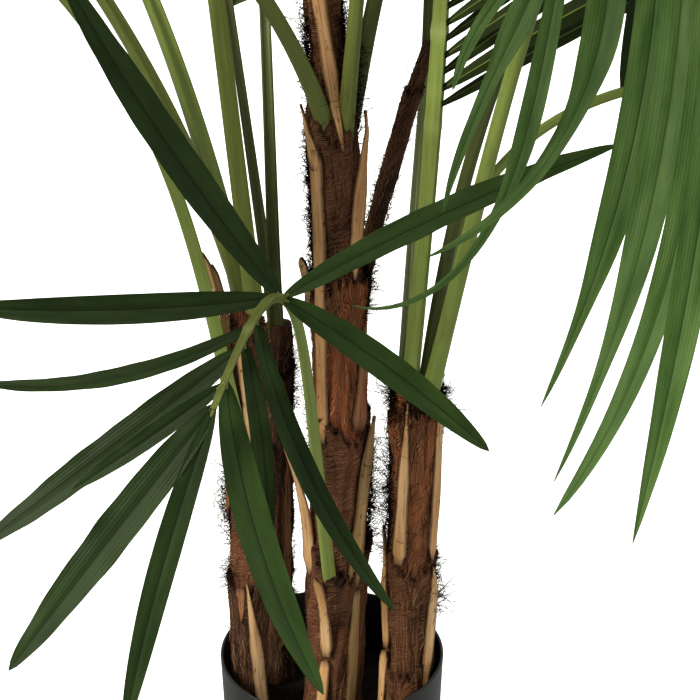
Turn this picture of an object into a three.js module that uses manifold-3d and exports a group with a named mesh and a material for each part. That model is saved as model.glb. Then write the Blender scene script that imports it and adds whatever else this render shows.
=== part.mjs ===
// Artificial kentia palm in a plain round pot: five fibre-wrapped trunks set in cement, and twenty-one
// fronds, each a petiole and one or two lengths of blade with its leaflets cut to the rib.
// Millimetres and degrees, +Z up, origin at the centre of the pot's flat underside, front towards -Y.
import * as THREE from 'three';
import { mergeVertices } from 'three/addons/utils/BufferGeometryUtils.js';
import Module from 'manifold-3d';

// Driving dimensions
const clearance = 0.3; // between pieces that rest on each other
const pot = { rimRadius: 90, footRadius: 85, height: 160, wall: 2.6, floor: 4, footRound: 3, sides: 40 };
const fill = { top: 106, slack: 0.4, sides: 32 };
const trunkShape = { sides: 9, ringStep: 46, sheathStep: 92, sheathSwell: 1.6, flareHeight: 70 };
const leastRingGap = 12; // between two rings of a trunk
const stripThickness = 2.4; // split sheath strips that lie along the trunks
const stripSink = 3.5; // how deep a strip's back is bedded in its trunk
const stripShares = [0, 0.5, 0.9, 1]; // stations along a strip
const stripTip = 0.5; // its width at a pointed end, as a share
const petioleShape = { sides: 5, ringStep: 62, ringTurn: 10, depthShare: 0.95 };
const ribShape = { sides: 4, ringStep: 66, ringTurn: 8, depthShare: 0.95 };
const ribTip = 3.6; // width of the rib at its tip
const neckShare = 0.35; // how much of its narrowing a stalk has done where the petiole ends
const lineSteps = 120; // stations along a frond's middle line
const splitAt = 0.52; // where a long blade is split, as a share of the blade
const leafletShape = {
  rootShare: 0.62, // the root's width as a share of the rib's, so that it starts well inside the rib
  rootThickness: 0.3, // as a share of the thickness further out
  thicknessShare: 0.0125, // of the leaflet's length
  widthShare: 0.098, // the widest place's width, as a share of the length, unless the frond gives its own
  bellyAt: 0.4, // the widest place, as a share of the length
  guard: 0.8, // spare room kept round a leaflet
};
const bentShape = {
  stations: 5, // from root to tip
  steps: 4, // between two stations, to follow the sweep
  powers: [0.5, 0.6], // how the outline swells from the root and closes to the tip
  tipDepth: 0.55, // how much narrower the long tip is
  tipBlend: 0.04, // over how much of the length it narrows
};
const rootRoom = { start: 3, end: 1.5 }; // kept between a blade's ends and its outermost leaflets
const leafletPlaces = [0.02, 0.99]; // the first and the last along a blade
const leafletSwell = { least: 0.62, from: 0.25, to: 0.92 }; // lengths follow this stretch of an arch
const leafletShares = [1, 0.8, 0.6]; // lengths tried, from whole to cut short

// Each trunk: foot and top of its middle line, sideways bow, and radii from foot to top.
// strips: the foot and the top as [height, bearing round the trunk, width], and how far the top stands off
const groundLevel = fill.top + clearance;
const trunks = {
  trunk_centre: {
    foot: [0, 0], top: [-21, 10, 880], bow: 16,
    radii: [
      [groundLevel, 24], [210, 24], [330, 22.3], [420, 21], [520, 19], [588, 18.3], [606, 13.5], [880, 10.5],
    ],
    flare: 1.04,
    strips: [
      [[352, 234, 11], [600, 224, 9], 4], [[480, 308, 12], [602, 335, 8], 11], [[362, 308, 14], [452, 328, 8], 0],
      [[230, 302, 12], [366, 330, 9], 4], [[238, 208, 12], [340, 198, 8], 16], [[108, 251, 12], [238, 246, 9], 2],
      [[572, 290, 12], [770, 232, 8], 2], [[300, 60, 13], [560, 75, 11], 1], [[180, 120, 14], [400, 128, 12], 1],
    ],
  },
  trunk_right: {
    foot: [59, -5], top: [64, -5, 392], bow: 1,
    radii: [[groundLevel, 19], [228, 20], [246, 18], [392, 18.5]],
    flare: 1.0,
    strips: [
      [[252, 236, 12], [386, 255, 8], 0], [[150, 312, 10], [245, 332, 8], 0], [[252, 322, 9], [385, 335, 8], 0],
      [[108, 192, 8], [276, 192, 8], 3], [[200, 80, 13], [380, 92, 11], 1],
    ],
  },
  trunk_left: {
    foot: [-67, -10], top: [-61.5, -10, 466], bow: 0,
    radii: [[groundLevel, 14.5], [210, 14.5], [300, 14], [390, 13], [466, 11.6]],
    flare: 1.0,
    strips: [
      [[345, 282, 7], [432, 268, 12], 1], [[108, 320, 13], [232, 270, 8], 0], [[430, 183, 7], [500, 180, 7], 17],
      [[425, 206, 7], [494, 203, 7], 12], [[160, 90, 12], [400, 100, 10], 1],
    ],
  },
  trunk_back: {
    foot: [-46, 40], top: [-40, 38, 428], bow: 0,
    radii: [[groundLevel, 13], [428, 11]],
    flare: 1.1,
    strips: [[[150, 300, 8], [330, 305, 8], 0]],
  },
  stem_thin: {
    foot: [4, 50], top: [72, 52, 640], bow: -29,
    radii: [[groundLevel, 8], [520, 7.4], [640, 5.5]],
    flare: 1.1,
    strips: [],
  },
};

// Leaflets bent by hand: place on the blade, side, swing towards the rib's tip, lift, length, width, the sweep
// in degrees over its length, how late it sweeps, and where its long narrow tip starts, if it has one
const nearBent = [
  [0, -1, 15, 46, 250, 23, -10, 1], [0.02, 1, -12, 36, 230, 19, -13, 1], [0, 1, -15, -25, 160, 19.5, -13, 1],
  [0.12, -1, 14, -10, 195, 18.5, -11, 1], [0.42, 1, 57, -60, 190, 13.5, 29, 1],
  [0.5, -1, 32, -21, 165, 11, -38, 1], [0.6, 1, 57, -55, 125, 12, -16, 1], [0.66, -1, 36, -28, 185, 20, -3, 1],
  [0.84, 1, 73, -51, 180, 20, 23, 1], [0.86, -1, 36, -24, 100, 11, -3, 1], [0.97, -1, 48, -34, 180, 22, 2, 1],
  [0.99, -1, 68, -44, 180, 15, 10, 1],
];
const hangingBent = [
  [0.05, -1, -41, 8, 109, 9, 45, 1], [0.09, -1, -53, -23, 184, 19, 14, 4.3, 0.45],
  [0.13, -1, -60, -38, 296, 14, -100, 3.9, 0.55], [0.26, -1, -71, -59, 275, 23, -77, 1.5, 0.5],
  [0.42, -1, -61, -70, 350, 21, -32, 1, 0.79], [0.5, -1, -41, -73, 397, 21, -28, 1.4, 0.76],
  [0.57, -1, -7, -74, 421, 17, -37, 2.4], [0.64, -1, 18, -72, 422, 21, -11, 1.6, 0.95],
  [0.75, -1, 53, -60, 395, 18, -2, 3.2, 0.8], [0.86, -1, 65, -39, 348, 17, 4, 1.2, 0.85],
];
const bentRoom = 0.1; // share of the blade that a bent leaflet keeps free of the others on its side

// Each frond: the trunk that carries it, its foot, the bearing it leans to (0 is +X, 90 is +Y), its lean
// from upright at the foot and at the tip, where it bends (a share of its length) and how sharply,
// its length, the petiole's share of it, the petiole's width, and its leaflets' pairs, length and droop.
// Leaflets lie flat on the rib, unless facing turns them, and droop straight down.
const fronds = [
  { name: 'near', trunk: 'trunk_centre', foot: [0, -25, 214], bearing: 258, lean: [17.4, 108.7],
    bend: [0.69, 9], length: 488, petiole: 0.685, width: 11, pairs: 0, bent: nearBent, droop: 0.1,
    facing: [0, -0.8, 0.6] },
  { name: 'left_low', trunk: 'trunk_left', foot: [-69, -20, 372], bearing: 195, lean: [10, 88],
    bend: [0.58, 2.7], length: 800, petiole: 0.45, width: 11, pairs: 10, leaflet: 290, droop: 0.3, parts: 2 },
  { name: 'left_high', trunk: 'trunk_left', foot: [-62, -7, 460], bearing: 153, lean: [19, 87],
    bend: [3, 1.16], length: 860, petiole: 0.44, width: 12, pairs: 10, leaflet: 290, droop: 0.3 },
  { name: 'left_back', trunk: 'trunk_left', foot: [-65.5, 6, 460], bearing: 140, lean: [16, 91],
    bend: [3, 1.34], length: 900, petiole: 0.44, width: 13.5, pairs: 10, leaflet: 300, droop: 0.3 },
  { name: 'left_front', trunk: 'trunk_left', foot: [-55, -21, 460], bearing: 247, lean: [10.5, 130],
    bend: [1.6, 4.3], length: 900, petiole: 0.48, width: 16.5, pairs: 10, leaflet: 290, droop: 0.3, parts: 2 },
  { name: 'back_left', trunk: 'trunk_back', foot: [-44, 47, 422], bearing: 114, lean: [19.5, 78],
    bend: [3, 2.67], length: 960, petiole: 0.24, width: 9, pairs: 11, leaflet: 300, droop: 0.3 },
  { name: 'back', trunk: 'trunk_back', foot: [-42, 33, 422], bearing: 96, lean: [12, 100], bend: [2, 1.62],
    length: 960, petiole: 0.45, width: 9.5, pairs: 10, leaflet: 300, droop: 0.3, parts: 2 },
  { name: 'node_left', trunk: 'trunk_centre', foot: [-3, -4, 588], bearing: 229, lean: [21, 90],
    bend: [3, 0.8], length: 780, petiole: 0.42, width: 10.5, pairs: 10, leaflet: 280, droop: 0.35,
    parts: 2 },
  { name: 'node_front', trunk: 'trunk_centre', foot: [12, -4, 584], bearing: 291, lean: [13, 108],
    bend: [1.95, 3], length: 860, petiole: 0.5, width: 10, pairs: 10, leaflet: 280, droop: 0.3 },
  { name: 'node_right', trunk: 'trunk_centre', foot: [15, 20, 584], bearing: 342, lean: [10, 92],
    bend: [2.26, 1.61], length: 900, petiole: 0.45, width: 11.5, pairs: 10, leaflet: 290, droop: 0.3 },
  { name: 'node_back', trunk: 'trunk_centre', foot: [4, 22, 584], bearing: 40, lean: [0, 96],
    bend: [2, 2.4], length: 900, petiole: 0.44, width: 9, pairs: 10, leaflet: 290, droop: 0.3, parts: 2 },
  { name: 'right_back', trunk: 'trunk_right', foot: [59, -8, 384], bearing: 166, lean: [-4, 53],
    bend: [3, 2.9], length: 900, petiole: 0.23, width: 15.5, neck: 0.2, pairs: 12, leaflet: 280,
    lift: [52, 25], swing: [66, 60], droop: 0.1 },
  { name: 'right_mid', trunk: 'trunk_right', foot: [71, 4, 384], bearing: 325, lean: [7, 75],
    bend: [3, 1.46], length: 880, petiole: 0.42, width: 10, pairs: 10, leaflet: 290, droop: 0.25, parts: 2 },
  { name: 'right_near', trunk: 'trunk_right', foot: [73, -15, 384], bearing: 308, lean: [15.6, 164],
    bend: [2.5, 4.4], length: 655, petiole: 0.517, width: 13, pairs: 8, leaflet: 420, slender: 0.048,
    bent: hangingBent, lift: [-51, -66], swing: [-6, 13], droop: 0.23, facing: [0, -0.8, 0.6] },
  { name: 'right_low', trunk: 'trunk_right', foot: [71, 14, 384], bearing: 342, lean: [7, 112],
    bend: [0.45, 2.7], length: 600, petiole: 0.47, width: 9, pairs: 8, leaflet: 230, lift: [50, 30],
    swing: [40, 54], droop: 0.15 },
  { name: 'right_behind', trunk: 'trunk_right', foot: [49, 11, 236], bearing: 83, lean: [19.5, 70],
    bend: [2, 0.8], length: 1060, petiole: 0.48, width: 9, pairs: 10, leaflet: 290, droop: 0.3, parts: 2 },
  { name: 'thin', trunk: 'stem_thin', foot: [72, 52, 636], bearing: 66, lean: [0, 90], bend: [2, 2],
    length: 760, petiole: 0.36, width: 8, pairs: 10, leaflet: 270, droop: 0.3 },
  { name: 'crown_right', trunk: 'trunk_centre', foot: [-15, 7, 874], bearing: 12, lean: [8, 64],
    bend: [2, 2], length: 940, petiole: 0.4, width: 8, pairs: 10, leaflet: 290, droop: 0.28 },
  { name: 'crown_left', trunk: 'trunk_centre', foot: [-25, 10, 874], bearing: 192, lean: [8, 74],
    bend: [2, 1.8], length: 920, petiole: 0.4, width: 8, pairs: 10, leaflet: 290, droop: 0.28 },
  { name: 'crown_back', trunk: 'trunk_centre', foot: [-16, 17, 820], bearing: 100, lean: [11, 84],
    bend: [2, 1.6], length: 880, petiole: 0.4, width: 8, pairs: 10, leaflet: 290, droop: 0.3 },
  { name: 'crown_front', trunk: 'trunk_centre', foot: [-12, -2, 790], bearing: 278, lean: [11, 80],
    bend: [2, 1.6], length: 860, petiole: 0.42, width: 8, pairs: 10, leaflet: 280, droop: 0.3 },
];

// How leaflets stand to the rib, at the blade's start and at its tip
const usualLift = [24, 6]; // rise above its sides
const usualSwing = [22, 54]; // turn towards its tip

const materials = {
  pot: { color: 0x1c1c1b, roughness: 0.5, metalness: 0 },
  fill: { color: 0x191511, roughness: 0.95, metalness: 0 },
  trunk: { color: 0x5a3626, roughness: 0.95, metalness: 0 },
  petiole: { color: 0x7d8c48, roughness: 0.5, metalness: 0 },
  leaf: { color: 0x2c4a2a, roughness: 0.55, metalness: 0 },
};

const wasm = await Module();
wasm.setup();
const palm = new THREE.Group();
const up = new THREE.Vector3(0, 0, 1);
const down = new THREE.Vector3(0, 0, -1);
const radians = THREE.MathUtils.degToRad;

function vec(x, y, z) {
  return new THREE.Vector3(x, y, z);
}

function mix(a, b, share) {
  return a + (b - a) * share;
}

// The value at x on a line through [x, y] knots.
function along(knots, x) {
  const last = knots.length - 1;
  if (x <= knots[0][0]) return knots[0][1];
  for (let i = 0; i < last; i += 1) {
    const [x0, y0] = knots[i];
    const [x1, y1] = knots[i + 1];
    if (x <= x1) return mix(y0, y1, (x - x0) / (x1 - x0));
  }
  return knots[last][1];
}

// A closed solid through rings of equal numbers of points. A ring of one point closes to a tip.
function loft(rings) {
  const places = [];
  const faces = [];
  const starts = rings.map((ring) => {
    const start = places.length / 3;
    ring.forEach((p) => places.push(p.x, p.y, p.z));
    return start;
  });
  for (let r = 0; r + 1 < rings.length; r += 1) {
    const low = rings[r].length;
    const high = rings[r + 1].length;
    const count = Math.max(low, high);
    for (let i = 0; i < count; i += 1) {
      const j = (i + 1) % count;
      const a = starts[r] + (low === 1 ? 0 : i);
      const b = starts[r] + (low === 1 ? 0 : j);
      const c = starts[r + 1] + (high === 1 ? 0 : j);
      const d = starts[r + 1] + (high === 1 ? 0 : i);
      if (low > 1) faces.push(a, b, c);
      if (high > 1) faces.push(a, c, d);
    }
  }
  const lastRing = rings.length - 1;
  for (let i = 1; i + 1 < rings[0].length; i += 1) {
    faces.push(starts[0], starts[0] + i + 1, starts[0] + i);
  }
  for (let i = 1; i + 1 < rings[lastRing].length; i += 1) {
    faces.push(starts[lastRing], starts[lastRing] + i, starts[lastRing] + i + 1);
  }
  const geometry = new THREE.BufferGeometry();
  geometry.setAttribute('position', new THREE.Float32BufferAttribute(places, 3));
  geometry.setIndex(faces);
  return geometry;
}

function toSolid(geometry) {
  const bare = geometry.clone();
  bare.deleteAttribute('normal');
  bare.deleteAttribute('uv');
  const merged = mergeVertices(bare);
  return new wasm.Manifold(new wasm.Mesh({
    numProp: 3,
    vertProperties: new Float32Array(merged.attributes.position.array),
    triVerts: new Uint32Array(merged.index.array),
  }));
}

function toGeometry(solid) {
  const mesh = solid.getMesh();
  const geometry = new THREE.BufferGeometry();
  geometry.setAttribute('position', new THREE.Float32BufferAttribute(mesh.vertProperties, 3));
  geometry.setIndex(Array.from(mesh.triVerts));
  return geometry;
}

// The largest piece of a solid: loose scraps go, and a hollow sealed inside is filled.
function mainPiece(solid) {
  const pieces = solid.decompose();
  return pieces.reduce((best, piece) => (piece.volume() > best.volume() ? piece : best));
}

function addGroup(x, y, z) {
  const group = new THREE.Group();
  group.position.set(x, y, z);
  palm.add(group);
  return group;
}

// A mesh whose shape, given from the pot's foot, is measured from its group's own place.
function addNode(name, geometry, finish, group) {
  const { x, y, z } = group.position;
  const shown = geometry.index ? geometry.toNonIndexed() : geometry;
  shown.translate(-x, -y, -z);
  shown.computeVertexNormals();
  const mesh = new THREE.Mesh(shown, new THREE.MeshStandardMaterial({ ...materials[finish], name: finish }));
  mesh.name = name;
  group.add(mesh);
}

// Pot and fill

// A solid turned round +Z from [radius, height] points.
function turned(outline, sides) {
  const points = outline.map(([radius, height]) => new THREE.Vector2(radius, height));
  return new THREE.LatheGeometry(points, sides).rotateX(Math.PI / 2);
}

function makePot() {
  const { rimRadius, footRadius, height, wall, floor, footRound, sides } = pot;
  const outline = [
    [0, 0], [footRadius - footRound, 0], [footRadius, footRound], [rimRadius, height],
    [rimRadius - wall, height], [footRadius - wall, floor], [0, floor],
  ];
  return turned(outline, sides);
}

function potInnerRadius(z) {
  return mix(pot.footRadius, pot.rimRadius, (z - pot.floor) / (pot.height - pot.floor)) - pot.wall;
}

function makeFill() {
  const low = pot.floor + clearance;
  const outline = [
    [0, low], [potInnerRadius(low) - fill.slack, low], [potInnerRadius(fill.top) - fill.slack, fill.top],
    [0, fill.top],
  ];
  return turned(outline, fill.sides);
}

// Trunks

function trunkAxis(trunk, z) {
  const share = (z - groundLevel) / (trunk.top[2] - groundLevel);
  const bow = trunk.bow * Math.sin(Math.PI * THREE.MathUtils.clamp(share, 0, 1));
  return vec(mix(trunk.foot[0], trunk.top[0], share) + bow, mix(trunk.foot[1], trunk.top[1], share), z);
}

// Radius with the root flare and the swelling of each overlapping sheath.
function trunkRadius(trunk, z) {
  const height = z - groundLevel;
  const flare = mix(trunk.flare, 1, Math.min(height / trunkShape.flareHeight, 1));
  const sheath = (height % trunkShape.sheathStep) / trunkShape.sheathStep;
  return along(trunk.radii, z) * flare + trunkShape.sheathSwell * (sheath - 0.5);
}

function trunkRing(trunk, z, grow) {
  const centre = trunkAxis(trunk, z);
  const radius = trunkRadius(trunk, z) + grow;
  const ring = [];
  for (let i = 0; i < trunkShape.sides; i += 1) {
    const turn = (i / trunkShape.sides) * 2 * Math.PI;
    ring.push(vec(centre.x + radius * Math.cos(turn), centre.y + radius * Math.sin(turn), z));
  }
  return ring;
}

function trunkCore(trunk, grow) {
  const top = trunk.top[2];
  const { ringStep } = trunkShape;
  const heights = [groundLevel];
  for (let z = groundLevel + ringStep; z < top - leastRingGap; z += ringStep) heights.push(z);
  trunk.radii.slice(1, -1).forEach(([z]) => {
    if (heights.every((height) => Math.abs(height - z) > leastRingGap)) heights.push(z);
  });
  heights.push(top);
  heights.sort((a, b) => a - b);
  const rings = heights.map((z) => trunkRing(trunk, z === top ? z + grow : z, grow));
  return toSolid(loft(rings));
}

// A split strip of sheath: bedded in the trunk, pointed at its upper end.
function makeStrip(trunk, [foot, top, standOff], grow) {
  const rings = stripShares.map((share) => {
    const [z, bearing, width] = foot.map((value, i) => mix(value, top[i], share));
    const turn = radians(bearing);
    const out = vec(Math.cos(turn), Math.sin(turn), 0);
    const side = vec(-Math.sin(turn), Math.cos(turn), 0);
    const reach = trunkRadius(trunk, Math.min(z, trunk.top[2])) + share * share * standOff;
    const half = (width / 2) * (share === 1 ? stripTip : 1) + grow;
    const centre = trunkAxis(trunk, z);
    const corner = (across, depth) => centre.clone()
      .addScaledVector(out, reach + depth)
      .addScaledVector(side, across);
    const back = -stripSink - grow;
    const front = stripThickness / 2 + grow;
    return [corner(-half, back), corner(-half, front), corner(half, front), corner(half, back)];
  });
  return toSolid(loft(rings));
}

function makeTrunk(trunk, grow) {
  const strips = trunk.strips.map((strip) => makeStrip(trunk, strip, grow));
  return strips.reduce((solid, strip) => solid.add(strip), trunkCore(trunk, grow));
}

// Fronds

// Stations along a frond's middle line: place, direction, and the upper side square to it.
function frondLine(frond) {
  const steps = lineSteps;
  const turn = radians(frond.bearing);
  const heading = vec(Math.cos(turn), Math.sin(turn), 0);
  const [bendAt, sharpness] = frond.bend;
  const rise = (share) => share ** sharpness / (share ** sharpness + bendAt ** sharpness);
  const stations = [];
  const place = vec(...frond.foot);
  for (let i = 0; i <= steps; i += 1) {
    const lean = radians(mix(frond.lean[0], frond.lean[1], rise(i / steps) / rise(1)));
    const ahead = heading.clone().multiplyScalar(Math.sin(lean)).addScaledVector(up, Math.cos(lean));
    const upper = heading.clone().multiplyScalar(-Math.cos(lean)).addScaledVector(up, Math.sin(lean));
    stations.push({ place: place.clone(), ahead, upper });
    place.addScaledVector(ahead, frond.length / steps);
  }
  const side = vec(-heading.y, heading.x, 0);
  return (distance) => {
    const position = THREE.MathUtils.clamp((distance / frond.length) * steps, 0, steps);
    const low = Math.min(Math.floor(position), steps - 1);
    const share = position - low;
    const [a, b] = [stations[low], stations[low + 1]];
    return {
      place: a.place.clone().lerp(b.place, share),
      ahead: a.ahead.clone().lerp(b.ahead, share).normalize(),
      upper: a.upper.clone().lerp(b.upper, share).normalize(),
      side,
      width: stalkWidth(frond, distance),
    };
  };
}

// The stalk's width, from the petiole's foot to the rib's tip.
function stalkWidth(frond, distance) {
  const share = distance / frond.length;
  const neck = mix(frond.width, ribTip, frond.neck ?? neckShare);
  if (share < frond.petiole) return mix(frond.width, neck, share / frond.petiole);
  return mix(neck, ribTip, (share - frond.petiole) / (1 - frond.petiole));
}

function stalkRing(line, distance, shape) {
  const { place, upper, side, width } = line(distance);
  const half = width / 2;
  const ring = [];
  for (let i = 0; i < shape.sides; i += 1) {
    const turn = ((i + 0.5) / shape.sides) * 2 * Math.PI - Math.PI / 2;
    const across = half * Math.cos(turn);
    const deep = half * shape.depthShare * Math.sin(turn);
    ring.push(place.clone().addScaledVector(side, across).addScaledVector(upper, deep));
  }
  return ring;
}

function stalk(line, from, to, shape) {
  const turn = THREE.MathUtils.radToDeg(line(from).ahead.angleTo(line(to).ahead));
  const count = Math.max(2, Math.round((to - from) / shape.ringStep), Math.round(turn / shape.ringTurn));
  const rings = [];
  for (let i = 0; i <= count; i += 1) rings.push(stalkRing(line, mix(from, to, i / count), shape));
  return toSolid(loft(rings));
}

// The direction in which a leaflet leaves the rib.
function leafletStart(at, { side, swing, lift }) {
  const level = Math.cos(radians(lift));
  return at.side.clone().multiplyScalar(side * level * Math.cos(radians(swing)))
    .addScaledVector(at.ahead, level * Math.sin(radians(swing)))
    .addScaledVector(at.upper, Math.sin(radians(lift)));
}

// Stations of a plain leaflet, which droops towards its tip: place, direction, upper side and width.
function droopingStations(frond, at, leaflet, length) {
  const direction = leafletStart(at, leaflet);
  const place = at.place.clone();
  const { rootShare, bellyAt, widthShare } = leafletShape;
  const belly = leaflet.length * (frond.slender ?? widthShare);
  const knots = [[0, at.width * rootShare], [bellyAt, belly], [1, 0]];
  return knots.map(([share, width], i) => {
    if (i > 0) {
      place.addScaledVector(direction, length * (share - knots[i - 1][0]));
      direction.addScaledVector(down, frond.droop).normalize();
    }
    const above = vec(0, 0, 0).crossVectors(at.ahead, direction).multiplyScalar(leaflet.side);
    return { place: place.clone(), direction: direction.clone(), above, width };
  });
}

// How wide a leaflet bent by hand is, as a share of its widest, with its long narrow tip.
function bentWidth(share, narrowAt) {
  const [swell, close] = bentShape.powers;
  const outline = (at) => at ** swell * (1 - at) ** close;
  const tip = 1 / (1 + Math.exp((narrowAt - share) / bentShape.tipBlend));
  return (outline(share) / outline(swell / (swell + close))) * (1 - bentShape.tipDepth * tip);
}

// Stations of a leaflet bent by hand, which sweeps round in the plane that it faces.
function bentStations(frond, at, leaflet, length) {
  const start = leafletStart(at, leaflet);
  const facing = vec(...frond.facing).normalize();
  const heading = (share) => start.clone()
    .applyAxisAngle(facing, radians(leaflet.sweep) * share ** leaflet.late);
  const place = at.place.clone();
  const { stations, steps } = bentShape;
  const count = stations * steps;
  const found = [];
  for (let i = 0; i <= count; i += 1) {
    const share = i / count;
    if (i > 0) place.addScaledVector(heading(share - 0.5 / count), length / count);
    if (i % steps === 0) {
      const swelling = leaflet.width * bentWidth(share, leaflet.narrowAt);
      const width = i === 0 ? at.width * leafletShape.rootShare : swelling;
      found.push({ place: place.clone(), direction: heading(share), above: facing.clone(), width });
    }
  }
  return found;
}

// One leaflet: a lance-shaped blade, flat above and keeled below.
function makeLeaflet(frond, at, leaflet, length, grow) {
  const course = leaflet.bent ? bentStations : droopingStations;
  const thick = length * leafletShape.thicknessShare;
  const rings = course(frond, at, leaflet, length).map(({ place, direction, above, width }, i, all) => {
    const upper = above.addScaledVector(direction, -above.dot(direction)).normalize();
    const across = vec(0, 0, 0).crossVectors(direction, upper);
    const half = width / 2 + grow;
    const left = place.clone().addScaledVector(across, half).addScaledVector(upper, grow);
    const right = place.clone().addScaledVector(across, -half).addScaledVector(upper, grow);
    const depth = thick * (i === 0 ? leafletShape.rootThickness : 1) + grow;
    const keel = place.clone().addScaledVector(upper, -depth);
    return i === all.length - 1 && grow === 0 ? [place] : [left, keel, right];
  });
  return toSolid(loft(rings));
}

// Where a frond's leaflets stand, in pairs along the rib with one at its end on each side.
function leafletPlan(frond) {
  const bent = frond.bent ?? [];
  const plan = bent.map(([place, side, swing, lift, length, width, sweep, late, narrowAt = 2]) => (
    { place, side, swing, lift, length, width, sweep, late, narrowAt, bent: true }
  ));
  const count = frond.pairs * 2;
  const [liftLow, liftHigh] = frond.lift ?? usualLift;
  const [swingLow, swingHigh] = frond.swing ?? usualSwing;
  for (let i = 0; i < count; i += 1) {
    const place = mix(...leafletPlaces, i / (count - 1));
    const arch = Math.sin(Math.PI * mix(leafletSwell.from, leafletSwell.to, place));
    const length = frond.leaflet * mix(leafletSwell.least, 1, arch);
    const swing = mix(swingLow, swingHigh, place);
    const side = i % 2 ? 1 : -1;
    const free = !bent.some(([at, bentSide]) => bentSide === side && Math.abs(at - place) < bentRoom);
    if (free) plan.push({ place, side, swing, lift: mix(liftLow, liftHigh, place), length });
  }
  return plan;
}

// Solids already in place, with their boxes, so that a leaflet can be kept clear of them
const placed = [];

function boxesMeet(a, b) {
  return [0, 1, 2].every((k) => a.min[k] <= b.max[k] && b.min[k] <= a.max[k]);
}

function isClear(solid, owner) {
  const box = solid.boundingBox();
  return !placed.some((other) => other.owner !== owner && boxesMeet(box, other.box)
    && !solid.intersect(other.solid).isEmpty());
}

function keep(solid, owner) {
  placed.push({ solid, owner, box: solid.boundingBox() });
}

// The leaflet at full length, or shorter where it would meet another frond or a trunk, or none.
function fittedLeaflet(frond, at, leaflet) {
  for (const share of leafletShares) {
    const length = leaflet.length * share;
    const guard = makeLeaflet(frond, at, leaflet, length, leafletShape.guard);
    if (isClear(guard, frond.name)) return makeLeaflet(frond, at, leaflet, length, 0);
  }
  return null;
}

// A blade is one length of rib, or two that meet at the bend, each with its own leaflets.
function bladeSpans(frond) {
  const start = frond.length * frond.petiole + clearance;
  if (frond.parts !== 2) return [{ name: 'blade', from: start, to: frond.length }];
  const bend = mix(start, frond.length, splitAt);
  return [
    { name: 'blade_inner', from: start, to: bend - clearance / 2 },
    { name: 'blade_outer', from: bend + clearance / 2, to: frond.length },
  ];
}

function makeBlade(frond, line, span) {
  const start = frond.length * frond.petiole;
  let blade = stalk(line, span.from, span.to, ribShape);
  leafletPlan(frond).forEach((leaflet) => {
    const distance = mix(start, frond.length, leaflet.place);
    if (span.name === 'blade_inner' ? distance > span.to : distance < span.from - clearance) return;
    const held = THREE.MathUtils.clamp(distance, span.from + rootRoom.start, span.to - rootRoom.end);
    const solid = fittedLeaflet(frond, line(held), leaflet);
    if (!solid) return;
    keep(solid, frond.name);
    blade = blade.add(solid);
  });
  return mainPiece(blade);
}

const potGroup = addGroup(0, 0, 0);
addNode('pot', makePot(), 'pot', potGroup);
addNode('pot_fill', makeFill(), 'fill', potGroup);

const grownTrunks = {};
Object.entries(trunks).forEach(([name, trunk]) => {
  const group = addGroup(...trunk.foot, groundLevel);
  addNode(name, toGeometry(mainPiece(makeTrunk(trunk, 0))), 'trunk', group);
  grownTrunks[name] = makeTrunk(trunk, clearance);
  keep(grownTrunks[name], name);
});

const grownFronds = fronds.map((frond) => {
  const line = frondLine(frond);
  const end = frond.length * frond.petiole;
  const group = addGroup(...frond.foot);
  const petiole = mainPiece(stalk(line, 0, end, petioleShape).subtract(grownTrunks[frond.trunk]));
  addNode(`${frond.name}_petiole`, toGeometry(petiole), 'petiole', group);
  keep(petiole, `${frond.name}_petiole`);
  keep(stalk(line, end, frond.length, ribShape), frond.name);
  return { frond, line, group };
});

// Blades come after every petiole and rib, so that leaflets keep clear of them all
grownFronds.forEach(({ frond, line, group }) => {
  bladeSpans(frond).forEach((span) => {
    const blade = makeBlade(frond, line, span);
    addNode(`${frond.name}_${span.name}`, toGeometry(blade), 'leaf', group);
  });
});

export default palm;
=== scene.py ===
import math
from collections import namedtuple
from functools import partial

import bpy
import numpy as np
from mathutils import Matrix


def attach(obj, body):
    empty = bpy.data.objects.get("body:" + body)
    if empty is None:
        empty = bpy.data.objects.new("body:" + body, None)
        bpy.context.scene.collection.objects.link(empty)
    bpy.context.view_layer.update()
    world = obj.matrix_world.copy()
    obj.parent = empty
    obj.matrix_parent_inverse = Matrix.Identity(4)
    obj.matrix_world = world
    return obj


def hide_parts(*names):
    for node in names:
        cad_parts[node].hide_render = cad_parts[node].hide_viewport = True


# Artificial kentia palm in a plain black pot.
# Lengths are in millimetres until makePiece turns them to metres, and bearings are in degrees.
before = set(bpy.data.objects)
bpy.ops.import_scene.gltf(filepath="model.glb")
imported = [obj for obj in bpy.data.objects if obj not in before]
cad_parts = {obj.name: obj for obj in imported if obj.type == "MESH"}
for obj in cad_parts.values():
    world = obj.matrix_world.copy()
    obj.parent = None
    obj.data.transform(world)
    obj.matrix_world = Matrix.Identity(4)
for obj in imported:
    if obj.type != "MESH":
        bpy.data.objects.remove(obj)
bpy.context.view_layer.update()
metre = 0.001
groundLevel = 106.3  # top of the pot's fill, where the trunks start
up = np.array([0.0, 0.0, 1.0])
# what random draws start from: the trunk's or frond's number is added, or for cloth and strips multiplied
seeds = dict(cloth=10, strip=7, rim=40, loose=50, laid=70, frond=300)
# how far a material's pattern is moved from one trunk, strip, stalk or leaflet to the next
shift = dict(trunk=97, strip=(17, 31), stalk=211, leaflet=900, socket=30)


def mix(a, b, share):
    return a + (b - a) * share


def unit(v):
    return v / np.linalg.norm(v, axis=-1, keepdims=True)


def fromHex(code):  # an sRGB hex value such as "#1a1a19" as linear colour
    parts = [int(code[i:i + 2], 16) / 255 for i in (1, 3, 5)]
    return [p / 12.92 if p <= 0.04045 else ((p + 0.055) / 1.055) ** 2.4 for p in parts] + [1]


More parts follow.
